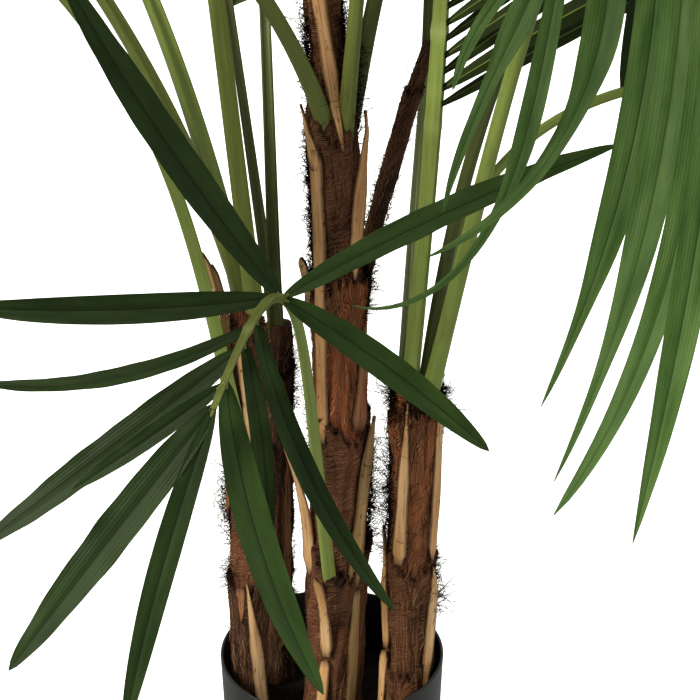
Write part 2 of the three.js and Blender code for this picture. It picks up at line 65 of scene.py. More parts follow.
# what some kinds of node are set to unless told otherwise, and the output that they give;
# a Mix node takes its share at socket 0 and its two colours at 6 and 7
usual = dict(
    Mix=(dict(data_type="RGBA"), 2), Math=(dict(operation="MULTIPLY"), 0), TexNoise=(dict(Scale=1), 0),
    VectorMath=(dict(operation="MULTIPLY"), 0), Attribute=(dict(attribute_name="marks"), "Vector"),
    TexCoord=({}, "Object"))


# adds a node with its settings, by name or socket, and with what feeds its sockets
def addNode(tree, kind, settings=None, links=None, out=None):
    node = tree.nodes.new("ShaderNode" + kind)
    usualSettings, usualOut = usual.get(kind, ({}, 0))
    for key, value in {**usualSettings, **(settings or {})}.items():
        if str(value).startswith("#"):
            value = fromHex(value)
        if isinstance(key, int) or key in node.inputs:
            node.inputs[key].default_value = value
        else:
            setattr(node, key, value)
    for key, source in (links or {}).items():
        tree.links.new(source, node.inputs[key])
    return node.outputs[usualOut if out is None else out] if len(node.outputs) else node


def newMaterial(name, colour):  # a material with its colour for the plain view, and what adds its nodes
    material = bpy.data.materials.new(name)
    material.use_nodes = True
    material.node_tree.nodes.clear()
    material.diffuse_color = fromHex(colour)
    return material, partial(addNode, material.node_tree)


def degreesApart(turn, bearing):
    return np.abs((np.degrees(turn) - bearing + 180) % 360 - 180)


def groupOf(name, groups):  # the first group that has the start of the name
    return next(group for group, starts in groups.items() if name.startswith(starts))


def ripple(turn, height, kind, seed):  # smooth random relief that closes round the trunk
    rise, waves, turnRange, pitchRange = ripples[kind]
    rng = np.random.default_rng(seed)
    total = np.zeros(np.broadcast(turn, height).shape)
    for _ in range(waves):
        around = rng.integers(*turnRange)
        pitch = rng.uniform(*pitchRange) * rng.choice([-1, 1])
        total += np.sin(around * turn + 2 * math.pi * height / pitch + rng.uniform(0, 2 * math.pi))
    return rise * (total / math.sqrt(waves))


def gridFaces(rows, columns, wrap):  # quads over a grid of points, row by row
    i, j = np.meshgrid(np.arange(rows - 1), np.arange(columns if wrap else columns - 1), indexing="ij")
    right = (j + 1) % columns
    faces = [i * columns + j, i * columns + right, (i + 1) * columns + right, (i + 1) * columns + j]
    return np.stack(faces, -1).reshape(-1, 4)


class Heap:  # grids of points, gathered to become one mesh
    def __init__(self):
        self.points, self.faces, self.marks, self.slots, self.count = [], [], [], [], 0

    # grid: rows x columns x 3, or many such grids of one size
    # marks: what the material reads at each point, as places across and along the surface, and a tone
    def add(self, grid, marks, wrap=False, slot=0):
        rows, columns = grid.shape[-3:-1]
        starts = self.count + np.arange(0, grid[..., 0].size, rows * columns)
        faces = (gridFaces(rows, columns, wrap) + starts[:, None, None]).reshape(-1, 4)
        self.points.append(grid.reshape(-1, 3))
        self.marks.append(np.broadcast_to(marks, grid.shape).reshape(-1, 3))
        self.faces.append(faces)
        self.slots.append(np.full(len(faces), slot))
        self.count += grid[..., 0].size


def makePiece(name, heap, materials, nodes, sharpAngle=None):
    points = np.concatenate(heap.points) * metre
    faces = np.concatenate(heap.faces)
    mesh = bpy.data.meshes.new(name)
    mesh.vertices.add(len(points))
    mesh.vertices.foreach_set("co", points.astype(np.float32).ravel())
    mesh.loops.add(faces.size)
    mesh.loops.foreach_set("vertex_index", faces.astype(np.int32).ravel())
    mesh.polygons.add(len(faces))
    mesh.polygons.foreach_set("loop_start", np.arange(0, faces.size, 4, dtype=np.int32))
    mesh.update(calc_edges=True)
    mesh.polygons.foreach_set("material_index", np.concatenate(heap.slots).astype(np.int32))
    mesh.polygons.foreach_set("use_smooth", np.ones(len(faces), bool))
    marks = mesh.attributes.new("marks", "FLOAT_VECTOR", "POINT")
    marks.data.foreach_set("vector", np.concatenate(heap.marks).astype(np.float32).ravel())
    if sharpAngle:
        mesh.set_sharp_from_angle(angle=math.radians(sharpAngle))
    for material in materials:
        mesh.materials.append(material)
    piece = bpy.data.objects.new(name, mesh)
    bpy.context.scene.collection.objects.link(piece)
    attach(piece, "root")
    if nodes:
        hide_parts(*nodes)
    print(name, len(faces) * 2, "triangles")


# materials

def mouldedPolypropylene():  # black polypropylene from a spark-eroded mould: satin, with a fine even grain
    material, add = newMaterial("moulded polypropylene, satin black", "#1a1a19")
    place = add("TexCoord")
    grain = add("TexNoise", {"Scale": 1 / (0.9 * metre), "Detail": 2}, {"Vector": place})
    dust = add("TexNoise", {"Scale": 1 / (45 * metre), "Detail": 4}, {"Vector": place})
    dusty = add("MapRange", {"From Min": 0.4, "From Max": 0.8}, {"Value": dust})
    colour = add("Mix", {6: "#0e0e0e", 7: "#1a1a19"}, {0: dusty})
    gloss = add("MapRange", {"To Min": 0.3, "To Max": 0.46}, {"Value": dust})
    bump = add("Bump", {"Strength": 0.25, "Distance": 0.15 * metre}, {"Height": grain})
    shader = add("BsdfPrincipled", {"IOR": 1.49}, {"Base Color": colour, "Roughness": gloss, "Normal": bump})
    add("OutputMaterial", links={"Surface": shader})
    return material


def stainedCement():  # cement cast in the pot and stained near black: rough and pitted
    material, add = newMaterial("cast cement, dark stain", "#17130f")
    place = add("TexCoord")
    grit = add("TexNoise", {"Scale": 1 / (3 * metre), "Detail": 6}, {"Vector": place})  # grains of 3 mm
    pitShade = add("MapRange", {"From Min": 0.35, "From Max": 0.75}, {"Value": grit})
    # painted shade: darker where the grit sinks to pits
    colour = add("Mix", {6: "#0d0a08", 7: "#2b231c"}, {0: pitShade})
    bump = add("Bump", {"Strength": 0.8, "Distance": 1.5 * metre}, {"Height": grit})
    shader = add("BsdfPrincipled", {"Roughness": 0.95, "Specular IOR Level": 0.2},
                 {"Base Color": colour, "Normal": bump})
    add("OutputMaterial", links={"Surface": shader})
    return material


# coir, the palm's own matted fibre: dry brown cloth with fine waves, which lean from upright by some degrees;
# the wave texture's own wavelength is 0.314 at a scale of 1
waveLength = 0.314


def coirCloth(name, lean, deep, middle, fibre, grooveShade):
    material, add = newMaterial(name, middle)
    marks = add("Attribute")
    edge = add("SeparateXYZ", links={0: marks}, out="Z")
    slow = add("VectorMath", {1: (0.07, 0.026, 0)}, {0: marks})
    wander = add("TexNoise", {"Detail": 1.5}, {"Vector": slow}, out="Color")
    drift = add("VectorMath", {1: (17, 0, 0)}, {0: wander})
    moved = add("VectorMath", {"operation": "ADD"}, {0: marks, 1: drift})
    leaning = add("VectorRotate", {"rotation_type": "Z_AXIS", "Angle": math.radians(lean)}, {"Vector": moved})
    # fibres 1.2 mm apart in waves and arches; real ones are finer, but would not show
    lines = add("TexWave", {"Scale": waveLength / 1.2, "Distortion": 2, "Detail": 2, "Detail Scale": 2.5},
                {"Vector": leaning}, out="Fac")
    fine = add("VectorMath", {1: (0.9, 0.1, 0)}, {0: leaning})
    strands = add("TexNoise", {"Detail": 4}, {"Vector": fine})  # 1 mm by 10 mm
    broad = add("VectorMath", {1: (0.05, 0.014, 0)}, {0: marks})
    patches = add("TexNoise", {"Detail": 3}, {"Vector": broad})  # 20 mm by 70 mm
    patchy = add("MapRange", {"From Min": 0.38, "From Max": 0.6}, {"Value": patches})
    ground = add("Mix", {6: deep, 7: middle}, {0: patchy})
    crest = add("MapRange", {"From Min": 0.4, "From Max": 0.9}, {"Value": lines})
    strong = add("MapRange", {"From Min": 0.4, "From Max": 0.7}, {"Value": strands})
    fibres = add("Math", {}, {0: crest, 1: strong})
    tinted = add("Mix", {7: fibre}, {0: fibres, 6: ground})
    # painted shade: the troughs between the fibres, where the relief is lowest, get the darker groove colour
    trough = add("MapRange", {"From Min": 0.5, "From Max": 0.1}, {"Value": lines})
    deeper = add("MapRange", {"From Min": 0.35, "From Max": 0.65}, {"Value": strands})
    grooveShadeMask = add("Math", {}, {0: trough, 1: deeper})
    grooved = add("Mix", {7: grooveShade}, {0: grooveShadeMask, 6: tinted})
    # painted shade just above and along each rim, read from the third mark
    colour = add("Mix", {7: "#140d0a"}, {0: edge, 6: grooved})
    relief = add("Math", {"operation": "ADD"}, {0: lines, 1: strands})
    bump = add("Bump", {"Strength": 0.8, "Distance": 0.7 * metre}, {"Height": relief})
    shader = add("BsdfPrincipled", {"Roughness": 0.85, "Specular IOR Level": 0.15},
                 {"Base Color": colour, "Normal": bump})
    add("OutputMaterial", links={"Surface": shader})
    return material


def splitCane(name, pale, golden, dark):  # dried leaf sheath split to strips: pale and woody, grain along it
    material, add = newMaterial(name, golden)
    marks = add("Attribute")
    edge = add("SeparateXYZ", links={0: marks}, out="Z")
    fine = add("VectorMath", {1: (0.9, 0.022, 0)}, {0: marks})
    grain = add("TexNoise", {"Detail": 5}, {"Vector": fine})  # 1 mm by 45 mm
    wide = add("VectorMath", {1: (0.12, 0.014, 0)}, {0: marks})
    broad = add("TexNoise", {"Detail": 3}, {"Vector": wide})  # 8 mm by 70 mm
    short = add("VectorMath", {1: (0.3, 0.12, 0)}, {0: marks})
    specks = add("TexNoise", {"Detail": 6}, {"Vector": short})  # 3 mm by 8 mm
    worn = add("MapRange", {"From Min": 0.35, "From Max": 0.65}, {"Value": broad})
    tone = add("Mix", {6: golden, 7: pale}, {0: worn})
    vein = add("MapRange", {"From Min": 0.52, "From Max": 0.72}, {"Value": grain})
    lined = add("Mix", {7: dark}, {0: vein, 6: tone})
    speck = add("MapRange", {"From Min": 0.62, "From Max": 0.72}, {"Value": specks})
    spotted = add("Mix", {7: "#5a3a22"}, {0: speck, 6: lined})
    colour = add("Mix", {7: "#2e1a11"}, {0: edge, 6: spotted})
    bump = add("Bump", {"Strength": 0.5, "Distance": 0.4 * metre}, {"Height": grain})
    shader = add("BsdfPrincipled", {"Roughness": 0.6, "Specular IOR Level": 0.3},
                 {"Base Color": colour, "Normal": bump})
    add("OutputMaterial", links={"Surface": shader})
    return material


def singleCoir(name, dark, light):  # single combed coir fibres: dull, from near black to straw
    material, add = newMaterial(name, dark)
    marks = add("Attribute")
    tone = add("SeparateXYZ", links={0: marks}, out="Z")
    colour = add("Mix", {6: dark, 7: light}, {0: tone})
    shader = add("BsdfPrincipled", {"Roughness": 0.9, "Specular IOR Level": 0.05}, {"Base Color": colour})
    add("OutputMaterial", links={"Surface": shader})
    return material


def mouldedPolyethylene(name, light, shaded, ring):  # dyed and moulded over a wire: satin with flow lines
    material, add = newMaterial(name, light)
    marks = add("Attribute")
    tone = add("SeparateXYZ", links={0: marks}, out="Z")
    drawn = add("VectorMath", {1: (2.2, 0.012, 0)}, {0: marks})
    flow = add("TexNoise", {"Detail": 4}, {"Vector": drawn})  # lines 80 mm long
    wide = add("VectorMath", {1: (0.6, 0.03, 0)}, {0: marks})
    cloud = add("TexNoise", {"Detail": 3}, {"Vector": wide})  # clouds 33 mm long
    line = add("MapRange", {"From Min": 0.35, "From Max": 0.7}, {"Value": flow})
    streaked = add("Mix", {6: light, 7: shaded}, {0: line})
    dull = add("MapRange", {"From Min": 0.5, "From Max": 0.8, "To Max": 0.5}, {"Value": cloud})
    clouded = add("Mix", {7: "#646c2c"}, {0: dull, 6: streaked})
    colour = add("Mix", {7: ring}, {0: tone, 6: clouded})
    bump = add("Bump", {"Strength": 0.25, "Distance": 0.25 * metre}, {"Height": flow})
    shader = add("BsdfPrincipled", {"Roughness": 0.42, "Specular IOR Level": 0.35},
                 {"Base Color": colour, "Normal": bump})
    add("OutputMaterial", links={"Surface": shader})
    return material


def coatedCloth(name, base, light, vein):  # polyester cloth coated and pressed with ribs: dark satin
    material, add = newMaterial(name, base)
    marks = add("Attribute")
    across = add("SeparateXYZ", links={0: marks}, out="X")
    phase = add("Math", {1: 34}, {0: across})
    ribs = add("Math", {"operation": "SINE"}, {0: phase})  # a dozen pressed ribs over the width
    wide = add("VectorMath", {1: (0.9, 0.022, 9)}, {0: marks})
    blotch = add("TexNoise", {"Detail": 3}, {"Vector": wide})  # 45 mm long
    drawn = add("VectorMath", {1: (9, 0.012, 5)}, {0: marks})
    streak = add("TexNoise", {"Detail": 3}, {"Vector": drawn})  # 80 mm long
    # on the fresh green cloth the pale patches of the light colour are partly painted sheen
    patchy = add("MapRange", {"From Min": 0.35, "From Max": 0.75, "To Max": 0.7}, {"Value": blotch})
    tone = add("Mix", {6: base, 7: light}, {0: patchy})
    faint = add("MapRange", {"From Min": 0.5, "From Max": 0.8, "To Max": 0.2}, {"Value": streak})
    lined = add("Mix", {7: light}, {0: faint, 6: tone})
    # painted shade: the deep, plain and fresh green cloths are darker along the middle crease; the ribbed
    # cloth has its own pale rib there
    apart = add("Math", {"operation": "ABSOLUTE"}, {0: across})
    middle = add("MapRange", {"From Min": 0.09, "From Max": 0.02, "To Max": 0.8}, {"Value": apart})
    colour = add("Mix", {7: vein}, {0: middle, 6: lined})
    gloss = add("MapRange", {"To Min": 0.44, "To Max": 0.6}, {"Value": blotch})
    bump = add("Bump", {"Strength": 0.22, "Distance": 0.25 * metre}, {"Height": ribs})
    shader = add("BsdfPrincipled", {"Specular IOR Level": 0.15},
                 {"Base Color": colour, "Roughness": gloss, "Normal": bump})
    add("OutputMaterial", links={"Surface": shader})
    return material


# pot and fill

pot = dict(rimRadius=90, footRadius=85, height=160, wall=2.6, floor=4, lip=1.2, footRound=3, recess=2,
           standRing=(60, 66), wallFrom=12, rows=18, turns=160)
fill = dict(top=106, foot=5, slack=0.4, lump=1.6, sink=0.6, innermost=0.3, rings=26, turns=96)
fillWaves = ((9, 1.3), (4.7, 0.4), (2.9, 2.2), (1.7, 5.1))  # length and shift of each wave of its surface
axisRadius = 0.5  # a turned piece closes this near to its axis


def turnedGrid(profile, turns):  # [radius, height] points turned round the pot's axis
    turn = np.linspace(0, 2 * math.pi, turns, endpoint=False)
    radius, height = np.array(profile, float).T[..., None]
    return np.stack([radius * np.cos(turn), radius * np.sin(turn), height + turn * 0], -1)


def potWall(height, inset):
    return mix(pot["footRadius"], pot["rimRadius"], height / pot["height"]) - inset


def makePot():
    lip, top, foot, rounding = (pot[key] for key in ("lip", "height", "footRadius", "footRound"))
    inner, outer = pot["standRing"]
    shoulder = top - 2 * lip
    profile = [[axisRadius, pot["recess"]], [inner, pot["recess"]], [outer, 0], [foot - rounding, 0]]
    bend = np.linspace(0.3, 1.5, 6)
    profile += [[foot - rounding + rounding * math.sin(a), rounding - rounding * math.cos(a)] for a in bend]
    profile += [[potWall(z, 0), z] for z in np.linspace(pot["wallFrom"], shoulder, pot["rows"])]
    rim = np.linspace(0, math.pi, 9)
    profile += [[pot["rimRadius"] - lip * (1 - math.cos(a)), top - lip + lip * math.sin(a)] for a in rim]
    profile += [[potWall(z, pot["wall"]), z] for z in np.linspace(shoulder, pot["floor"] + 2, pot["rows"])]
    profile += [[axisRadius, pot["floor"]]]
    heap = Heap()
    heap.add(turnedGrid(profile, pot["turns"]), (0, 0, 0), wrap=True)
    makePiece("potShell", heap, [mouldedPolypropylene()], ["pot"], sharpAngle=50)


def makeFill():
    edge = pot["wall"] + fill["slack"]
    radius = np.linspace(fill["innermost"], potWall(fill["top"], edge), fill["rings"])
    grid = turnedGrid([[r, fill["top"]] for r in radius], fill["turns"])
    x, y = grid[..., 0], grid[..., 1]
    lumps = sum(np.sin(x / length + shift) * np.cos(y / length - shift) for length, shift in fillWaves)
    grid[..., 2] += fill["lump"] * (lumps / len(fillWaves) - fill["sink"])
    side = [[potWall(fill["foot"], edge), fill["foot"]], [radius[-1], fill["top"] - 2]]
    heap = Heap()
    for part in (grid, turnedGrid(side, fill["turns"])):
        heap.add(part, (0, 0, 0), wrap=True)
    makePiece("cementFill", heap, [stainedCement()], ["pot_fill"])


# trunks

# the cloth: its columns and the step between its rows, the radius up to which it has half the columns, and
# the one up to which its relief is lower
clothForm = dict(turns=124, step=1.5, flareHeight=70, thinRadius=14, fullRadius=16, pouchFoot=195,
                 pouchPower=0.6)
# each layer of it swells to a rim over the foot of the next one; painted shade darkens it just above a rim
# and along it
rimForm = dict(rise=3.8, sink=0.35, notch=60, pastFoot=40, pastTop=60, shadeAbove=7, shadeAlong=4,
               alongShare=0.75, paintedShade=0.85)
# relief: its height, how many waves it adds up, how often each goes round the trunk, and how tall a wave is;
# the rags of a rim are the same at any height
ripples = dict(
    lumps=[0.8, 6, (1, 5), (35, 90)],
    folds=[0.6, 9, (6, 16), (60, 200)],
    strands=[0.3, 14, (18, 41), (20, 60)],
    rags=[3.15, 9, (1, 30), (1e5, 2e5)])

# rims: where a layer of cloth ends, as its height, the depth of the notch in it, and the notch's bearing
# layers: the cloth of each layer, from the foot up; laid: how many fibres lie on it
# strips: foot and top, each as [height, bearing, width], how far the top stands off, how much of the foot and
# of the top narrows to a point, how far it is twisted from the trunk's surface, and the cane
# pouch: bearing, spread and rise of the swelling under the lowest rim, where a petiole comes out
# tufts: bearing, spread, low, high, count, length
trunks = dict(
    trunk_centre=dict(
        foot=[0, 0], top=[-21, 10, 880], bow=16, flare=1.04, laid=1500,
        layers=["umber"] * 2 + ["red"] + ["umber"] * 4,
        radii=[[106.3, 24], [210, 24], [330, 22.3], [420, 21], [520, 19], [588, 18.3], [606, 13.5],
               [880, 10.5]],
        rims=[[262, 24, 290], [372, 24, 300], [478, 14, 215], [604, 27, 275], [700, 12, 90], [800, 12, 240]],
        pouch=[261, 26, 17],
        strips=[[[352, 236, 10], [575, 231, 11], 1, [0.08, 0.04], 0, "tan"],
                [[560, 236, 10], [606, 212, 4], 9, [0, 0.8], 25, "tan"],
                [[480, 306, 11], [602, 330, 8], 12, [0.2, 0.5], -30, "tan"],
                [[362, 308, 14], [450, 326, 7], 2, [0.05, 0.9], -15, "tawny"],
                [[574, 290, 12], [770, 236, 9], 2.5, [0.3, 0.3], 0, "tan"],
                [[228, 299, 11], [372, 330, 9], 7, [0.04, 0.25], -20, "olive"],
                [[108, 250, 9], [164, 252, 9], 0, [0, 0.05], 0, "pale"],
                [[168, 256, 10.5], [252, 250, 7], 24, [0.05, 0.1], 0, "pale"],
                [[236, 214, 11], [345, 200, 7], 20, [0.15, 0.6], 48, "pale"],
                [[108, 303, 9], [226, 307, 9], 0, [0, 0.05], 0, "olive"],
                [[452, 193, 8], [492, 187, 7], 5, [0.1, 0.1], 50, "pale"],
                [[300, 60, 13], [560, 75, 11], 1, [0.1, 0.4], 0, "olive"],
                [[180, 120, 14], [400, 128, 12], 1, [0.1, 0.2], 0, "tawny"]],
        tufts=[[190, 16, 430, 690, 520, 7], [345, 24, 572, 690, 520, 13], [350, 14, 440, 505, 160, 12],
               [350, 20, 235, 366, 420, 13], [188, 12, 300, 420, 160, 9], [195, 24, 590, 680, 300, 11]]),
    trunk_right=dict(
        foot=[59, -5], top=[64, -5, 392], bow=1, flare=1.0, laid=700,
        layers=["umber"] * 2 + ["worn"] * 2,
        radii=[[106.3, 19], [228, 20], [246, 18], [392, 18.5]],
        rims=[[158, 12, 250], [252, 16, 275], [378, 12, 200]],
        strips=[[[250, 238, 12], [388, 252, 7], 0, [0.06, 0.5], 0, "pale"],
                [[112, 312, 7], [245, 326, 9], 1, [0.3, 0.2], -25, "pale"],
                [[250, 322, 7], [388, 328, 7], 1, [0.1, 0.2], -25, "pale"],
                [[106, 196, 8], [168, 212, 7.5], 0, [0, 0.08], 20, "pale"],
                [[172, 213, 7], [278, 192, 6], 3, [0.05, 0.6], 25, "tan"],
                [[200, 80, 13], [380, 92, 11], 1, [0.1, 0.3], 0, "olive"]],
        tufts=[[188, 22, 230, 370, 420, 11], [350, 16, 345, 402, 200, 12], [345, 18, 205, 262, 90, 12],
               [270, 80, 366, 396, 200, 8], [190, 16, 372, 410, 120, 12], [350, 12, 190, 235, 60, 24]]),
    trunk_left=dict(
        foot=[-67, -10], top=[-61.5, -10, 466], bow=0, flare=1.0, laid=700,
        layers=["dark", "umber", "umber", "red"],
        radii=[[106.3, 14.5], [210, 14.5], [300, 14], [390, 13], [466, 11.6]],
        rims=[[236, 14, 250], [336, 12, 210], [446, 8, 290]],
        strips=[[[345, 282, 3], [432, 268, 12], 1, [0.2, 0], 0, "pale"],
                [[108, 318, 13], [236, 270, 7], 0, [0, 0.4], 0, "pale"],
                [[200, 252, 9], [232, 254, 9], 1, [0.8, 0], 0, "tawny"],
                [[428, 188, 7], [500, 182, 6], 17, [0, 0.1], 55, "tan"],
                [[425, 208, 7], [494, 203, 6], 12, [0, 0.1], 40, "tan"],
                [[290, 205, 8], [424, 214, 7], 0, [0.1, 0.3], 0, "tawny"],
                [[160, 90, 12], [400, 100, 10], 1, [0.1, 0.3], 0, "olive"]],
        tufts=[[182, 16, 255, 345, 220, 14], [182, 30, 222, 250, 120, 9], [0, 60, 200, 420, 220, 9]]),
    trunk_back=dict(
        foot=[-46, 40], top=[-40, 38, 428], bow=0, flare=1.1, laid=320,
        layers=["dark"] * 4,
        radii=[[106.3, 13], [428, 11]],
        rims=[[190, 8, 0], [330, 8, 180], [394, 8, 300]],
        strips=[[[150, 300, 6], [330, 305, 6], 0, [0.1, 0.4], 0, "tawny"]],
        tufts=[[350, 30, 330, 430, 200, 9], [350, 30, 120, 330, 160, 6]]),
    stem_thin=dict(
        foot=[4, 50], top=[72, 52, 640], bow=-29, flare=1.1, laid=380,
        layers=["dark"] * 4,
        radii=[[106.3, 8], [520, 7.4], [640, 5.5]],
        rims=[[262, 6, 0], [452, 6, 180], [604, 6, 90]],
        strips=[],
        tufts=[[0, 25, 300, 628, 300, 5], [180, 25, 300, 628, 300, 5]]),
)
# the fibres' pieces, each with the trunks whose names start so
fibreGroups = dict(Centre=("trunk_centre",), Sides=("trunk", "stem"))


def trunkAxis(trunk, z):
    share = (z - groundLevel) / (trunk["top"][2] - groundLevel)
    bow = trunk["bow"] * np.sin(np.pi * np.clip(share, 0, 1))
    x = mix(trunk["foot"][0], trunk["top"][0], share) + bow
    y = mix(trunk["foot"][1], trunk["top"][1], share)
    return np.stack([x, y, z], -1)


def trunkRadius(trunk, z):
    knots = np.array(trunk["radii"])
    flare = mix(trunk["flare"], 1, np.clip((z - groundLevel) / clothForm["flareHeight"], 0, 1))
    return np.interp(z, knots[:, 0], knots[:, 1]) * flare


def onTrunk(trunk, turn, z, radius):
    return trunkAxis(trunk, z) + np.stack([np.cos(turn) * radius, np.sin(turn) * radius, turn * 0], -1)


def rimHeights(trunk, turn, seed):  # the height of each rim at the bearings, with its notch and its rags
    heights = []
    for index, (z, notch, bearing) in enumerate(trunk["rims"]):
        dip = notch * np.clip(1 - degreesApart(turn, bearing) / rimForm["notch"], 0, 1)
        heights.append(z - dip + ripple(turn, turn * 0, "rags", seed + seeds["rim"] + index))
    return heights


def rimRelief(trunk, turn, z, seed):  # how far each layer stands out, and its painted shade
    first = turn * 0 + groundLevel - rimForm["pastFoot"]
    last = turn * 0 + trunk["top"][2] + rimForm["pastTop"]
    ends = [first] + rimHeights(trunk, turn, seed) + [last]
    relief = np.zeros(z.shape)
    dark = np.zeros(z.shape)
    for low, high in zip(ends, ends[1:]):
        inside = (z >= low) & (z < high)
        share = np.clip((z - low) / (high - low), 0, 1)
        relief[inside] = rimForm["rise"] * (share[inside] ** 3 - rimForm["sink"])
        # painted shade: darkest just above the rim below and along the layer's own rim
        above = np.clip(1 - (z - low) / rimForm["shadeAbove"], 0, 1) ** 1.5
        along = np.clip(1 - (high - z) / rimForm["shadeAlong"], 0, 1) * rimForm["alongShare"]
        dark[inside] = np.maximum(above, along)[inside] * rimForm["paintedShade"]
    return relief, dark


def trunkSurface(trunk, turn, z, seed):  # radius and painted shade at any bearing and height
    relief, dark = rimRelief(trunk, turn, z, seed)
    if "pouch" in trunk:
        bearing, spread, rise = trunk["pouch"]
        low, high = clothForm["pouchFoot"], rimHeights(trunk, turn, seed)[0]
        swell = np.where(z < high, np.clip((z - low) / (high - low), 0, 1) ** clothForm["pouchPower"], 0)
        relief = relief + rise * swell * np.exp(-(degreesApart(turn, bearing) / spread) ** 2)
    for number, kind in enumerate(("lumps", "folds", "strands"), 1):
        relief = relief + ripple(turn, z, kind, seed + number)
    return trunkRadius(trunk, z) + relief * min(1, trunk["radii"][0][1] / clothForm["fullRadius"]), dark


def trunkGrid(trunk, seed):
    turns = clothForm["turns"] // (1 if trunk["radii"][0][1] > clothForm["thinRadius"] else 2)
    heights = np.arange(groundLevel, trunk["top"][2], clothForm["step"])
    turn, z = np.meshgrid(np.linspace(0, 2 * math.pi, turns, endpoint=False), heights)
    radius, dark = trunkSurface(trunk, turn, z, seed)
    grid = onTrunk(trunk, turn, z, radius)
    # the third mark is the painted shade at the rims
    marks = np.stack([turn * trunkRadius(trunk, z), z + seed * shift["trunk"], dark], -1)
    cap = onTrunk(trunk, turn[-1:], z[-1:] + 1, axisRadius)  # closes the top
    layer = sum((z > rim).astype(int) for rim in rimHeights(trunk, turn, seed))
    return np.concatenate([grid, cap]), np.concatenate([marks, marks[-1:]]), layer.ravel()


# a strip's section, as [across, proud]: its face, which is arched across, and then its back
stripSection = [[-1, 0], [-0.93, 0.9], [-0.6, 1.3], [-0.2, 1.1], [0.2, 1.2], [0.6, 1.4], [0.93, 0.9], [1, 0],
                [0.9, -1.2], [0, -1.6], [-0.9, -1.2]]
# how it wanders and sways, how wide it stays at a cut end and at a point, how ragged its edges are, how far
# it is off the cloth, and how dark and how long it is burnt at the foot, stained at the top and dark at its
# edges
stripForm = dict(step=3, leastRows=16, wander=0.05, sway=(0.4, 5), cutTip=0.1, cutWidth=0.7, pointWidth=0.12,
                 roundness=0.7, ragged=(0.07, 11), rough=0.02, lift=1.7, burnt=(0.9, 14), stained=(0.6, 6),
                 edge=(0.75, 0.75, 0.2))


def stripGrid(trunk, strip, seed):
    (low, lowBearing, lowWidth), (high, highBearing, highWidth), standOff, tips, twist = strip[:5]
    rng = np.random.default_rng(seed)
    share = np.linspace(0, 1, max(stripForm["leastRows"], int((high - low) / stripForm["step"])))
    z = mix(low, high, share)
    across, proud = np.array(stripSection).T
    sway, swayLength = stripForm["sway"]
    wander = np.cumsum(rng.normal(0, stripForm["wander"], len(z))) - sway * np.sin(share * swayLength + seed)
    taper = 1
    for tip, apart in zip(tips, (share, 1 - share)):  # a short tip is a cut end, a long one comes to a point
        least = stripForm["cutWidth"] if tip < stripForm["cutTip"] else stripForm["pointWidth"]
        taper = taper * np.clip(apart / max(tip, 0.01), least, 1) ** stripForm["roundness"]
    rag, ragLength = stripForm["ragged"]
    ragged = 1 + rag * np.sin(share * (high - low) / ragLength + seed)
    ragged = ragged + rng.normal(0, stripForm["rough"], len(z))
    half = mix(lowWidth, highWidth, share) / 2 * taper * ragged
    reach = trunkRadius(trunk, np.minimum(z, trunk["top"][2])) + stripForm["lift"] + share ** 2 * standOff
    turn = np.radians(mix(lowBearing, highBearing, share))
    facing = turn + np.radians(twist)
    out = np.stack([np.cos(facing), np.sin(facing), turn * 0], -1)[:, None]
    side = np.stack([-np.sin(facing), np.cos(facing), turn * 0], -1)[:, None]
    wide = across * half[:, None] + wander[:, None]
    hug = wide ** 2 / (2 * reach[:, None]) * (twist == 0)  # one that lies on the trunk follows it round
    grid = onTrunk(trunk, turn, z, reach)[:, None] + side * wide[..., None] + out * (proud - hug)[..., None]
    burnt, burntLength = stripForm["burnt"]
    stained, stainLength = stripForm["stained"]
    edge, edgeFrom, edgeWidth = stripForm["edge"]
    foot = np.clip(1 - share * (high - low) / burntLength, 0, 1) ** 2 * burnt
    top = stained * np.clip(1 - (1 - share) * (high - low) / stainLength, 0, 1)
    rim = edge * np.clip(np.abs(across) - edgeFrom, 0, edgeWidth) / edgeWidth
    tone = np.clip((foot + top)[:, None] + rim, 0, 1)
    aside, along = (seed * move for move in shift["strip"])
    marks = np.stack(np.broadcast_arrays(across * half[:, None] + aside, z[:, None] + along, tone), -1)
    ends = [grid[row].mean(1, keepdims=True) + grid[row] * 0 for row in (slice(0, 1), slice(-1, None))]
    return np.concatenate([ends[0], grid, ends[1]]), np.concatenate([marks[:1], marks, marks[-1:]])


# fibres that stand out: which way they set off, how they curl at each of their steps, how the tufts gather to
# knots, one to so many fibres, and the short ones that stand all over the cloth and along its rims
hair = dict(outward=(0.1, 1), sideways=0.5, upward=(0.35, 0.8), curl=0.55, jitter=0.16, steps=6, least=2,
            radius=(0.18, 0.36), tip=0.35, tone=(1, 3.5), crowd=1.4, spread=0.6, perKnot=40, gather=0.55,
            laidPerFluff=6, fluff=4, perRimRadius=6, rimHair=5)
# fibres that lie on the cloth in waves and arches: neighbours run the same way over a field so long
laidForm = dict(stations=8, field=31, bias=0.9, wide=(1, 6), tall=(6, 18), wave=(0.8, 4), sideWave=(0.7, 5),
                radius=(0.15, 0.28), lift=(0.05, 0.7), light=(0.5, 1), dark=(0, 0.3))


def addFibres(heap, centres, tones, thickness, rng):  # three-sided tubes along many lines at once
    radius = rng.uniform(*thickness, (len(centres), 1, 1))
    directions = np.gradient(centres, axis=1)
    side = unit(np.cross(directions, unit(rng.normal(0, 1, (len(centres), 1, 3)))))
    other = unit(np.cross(directions, side))
    taper = radius * np.linspace(1, hair["tip"], centres.shape[1])[None, :, None]
    tubes = [centres + (side * math.cos(a) + other * math.sin(a)) * taper for a in (0, 2.1, 4.2)]
    heap.add(np.stack(tubes, 2), np.stack([tones * 0, tones * 0, tones], -1)[:, None, None], wrap=True)


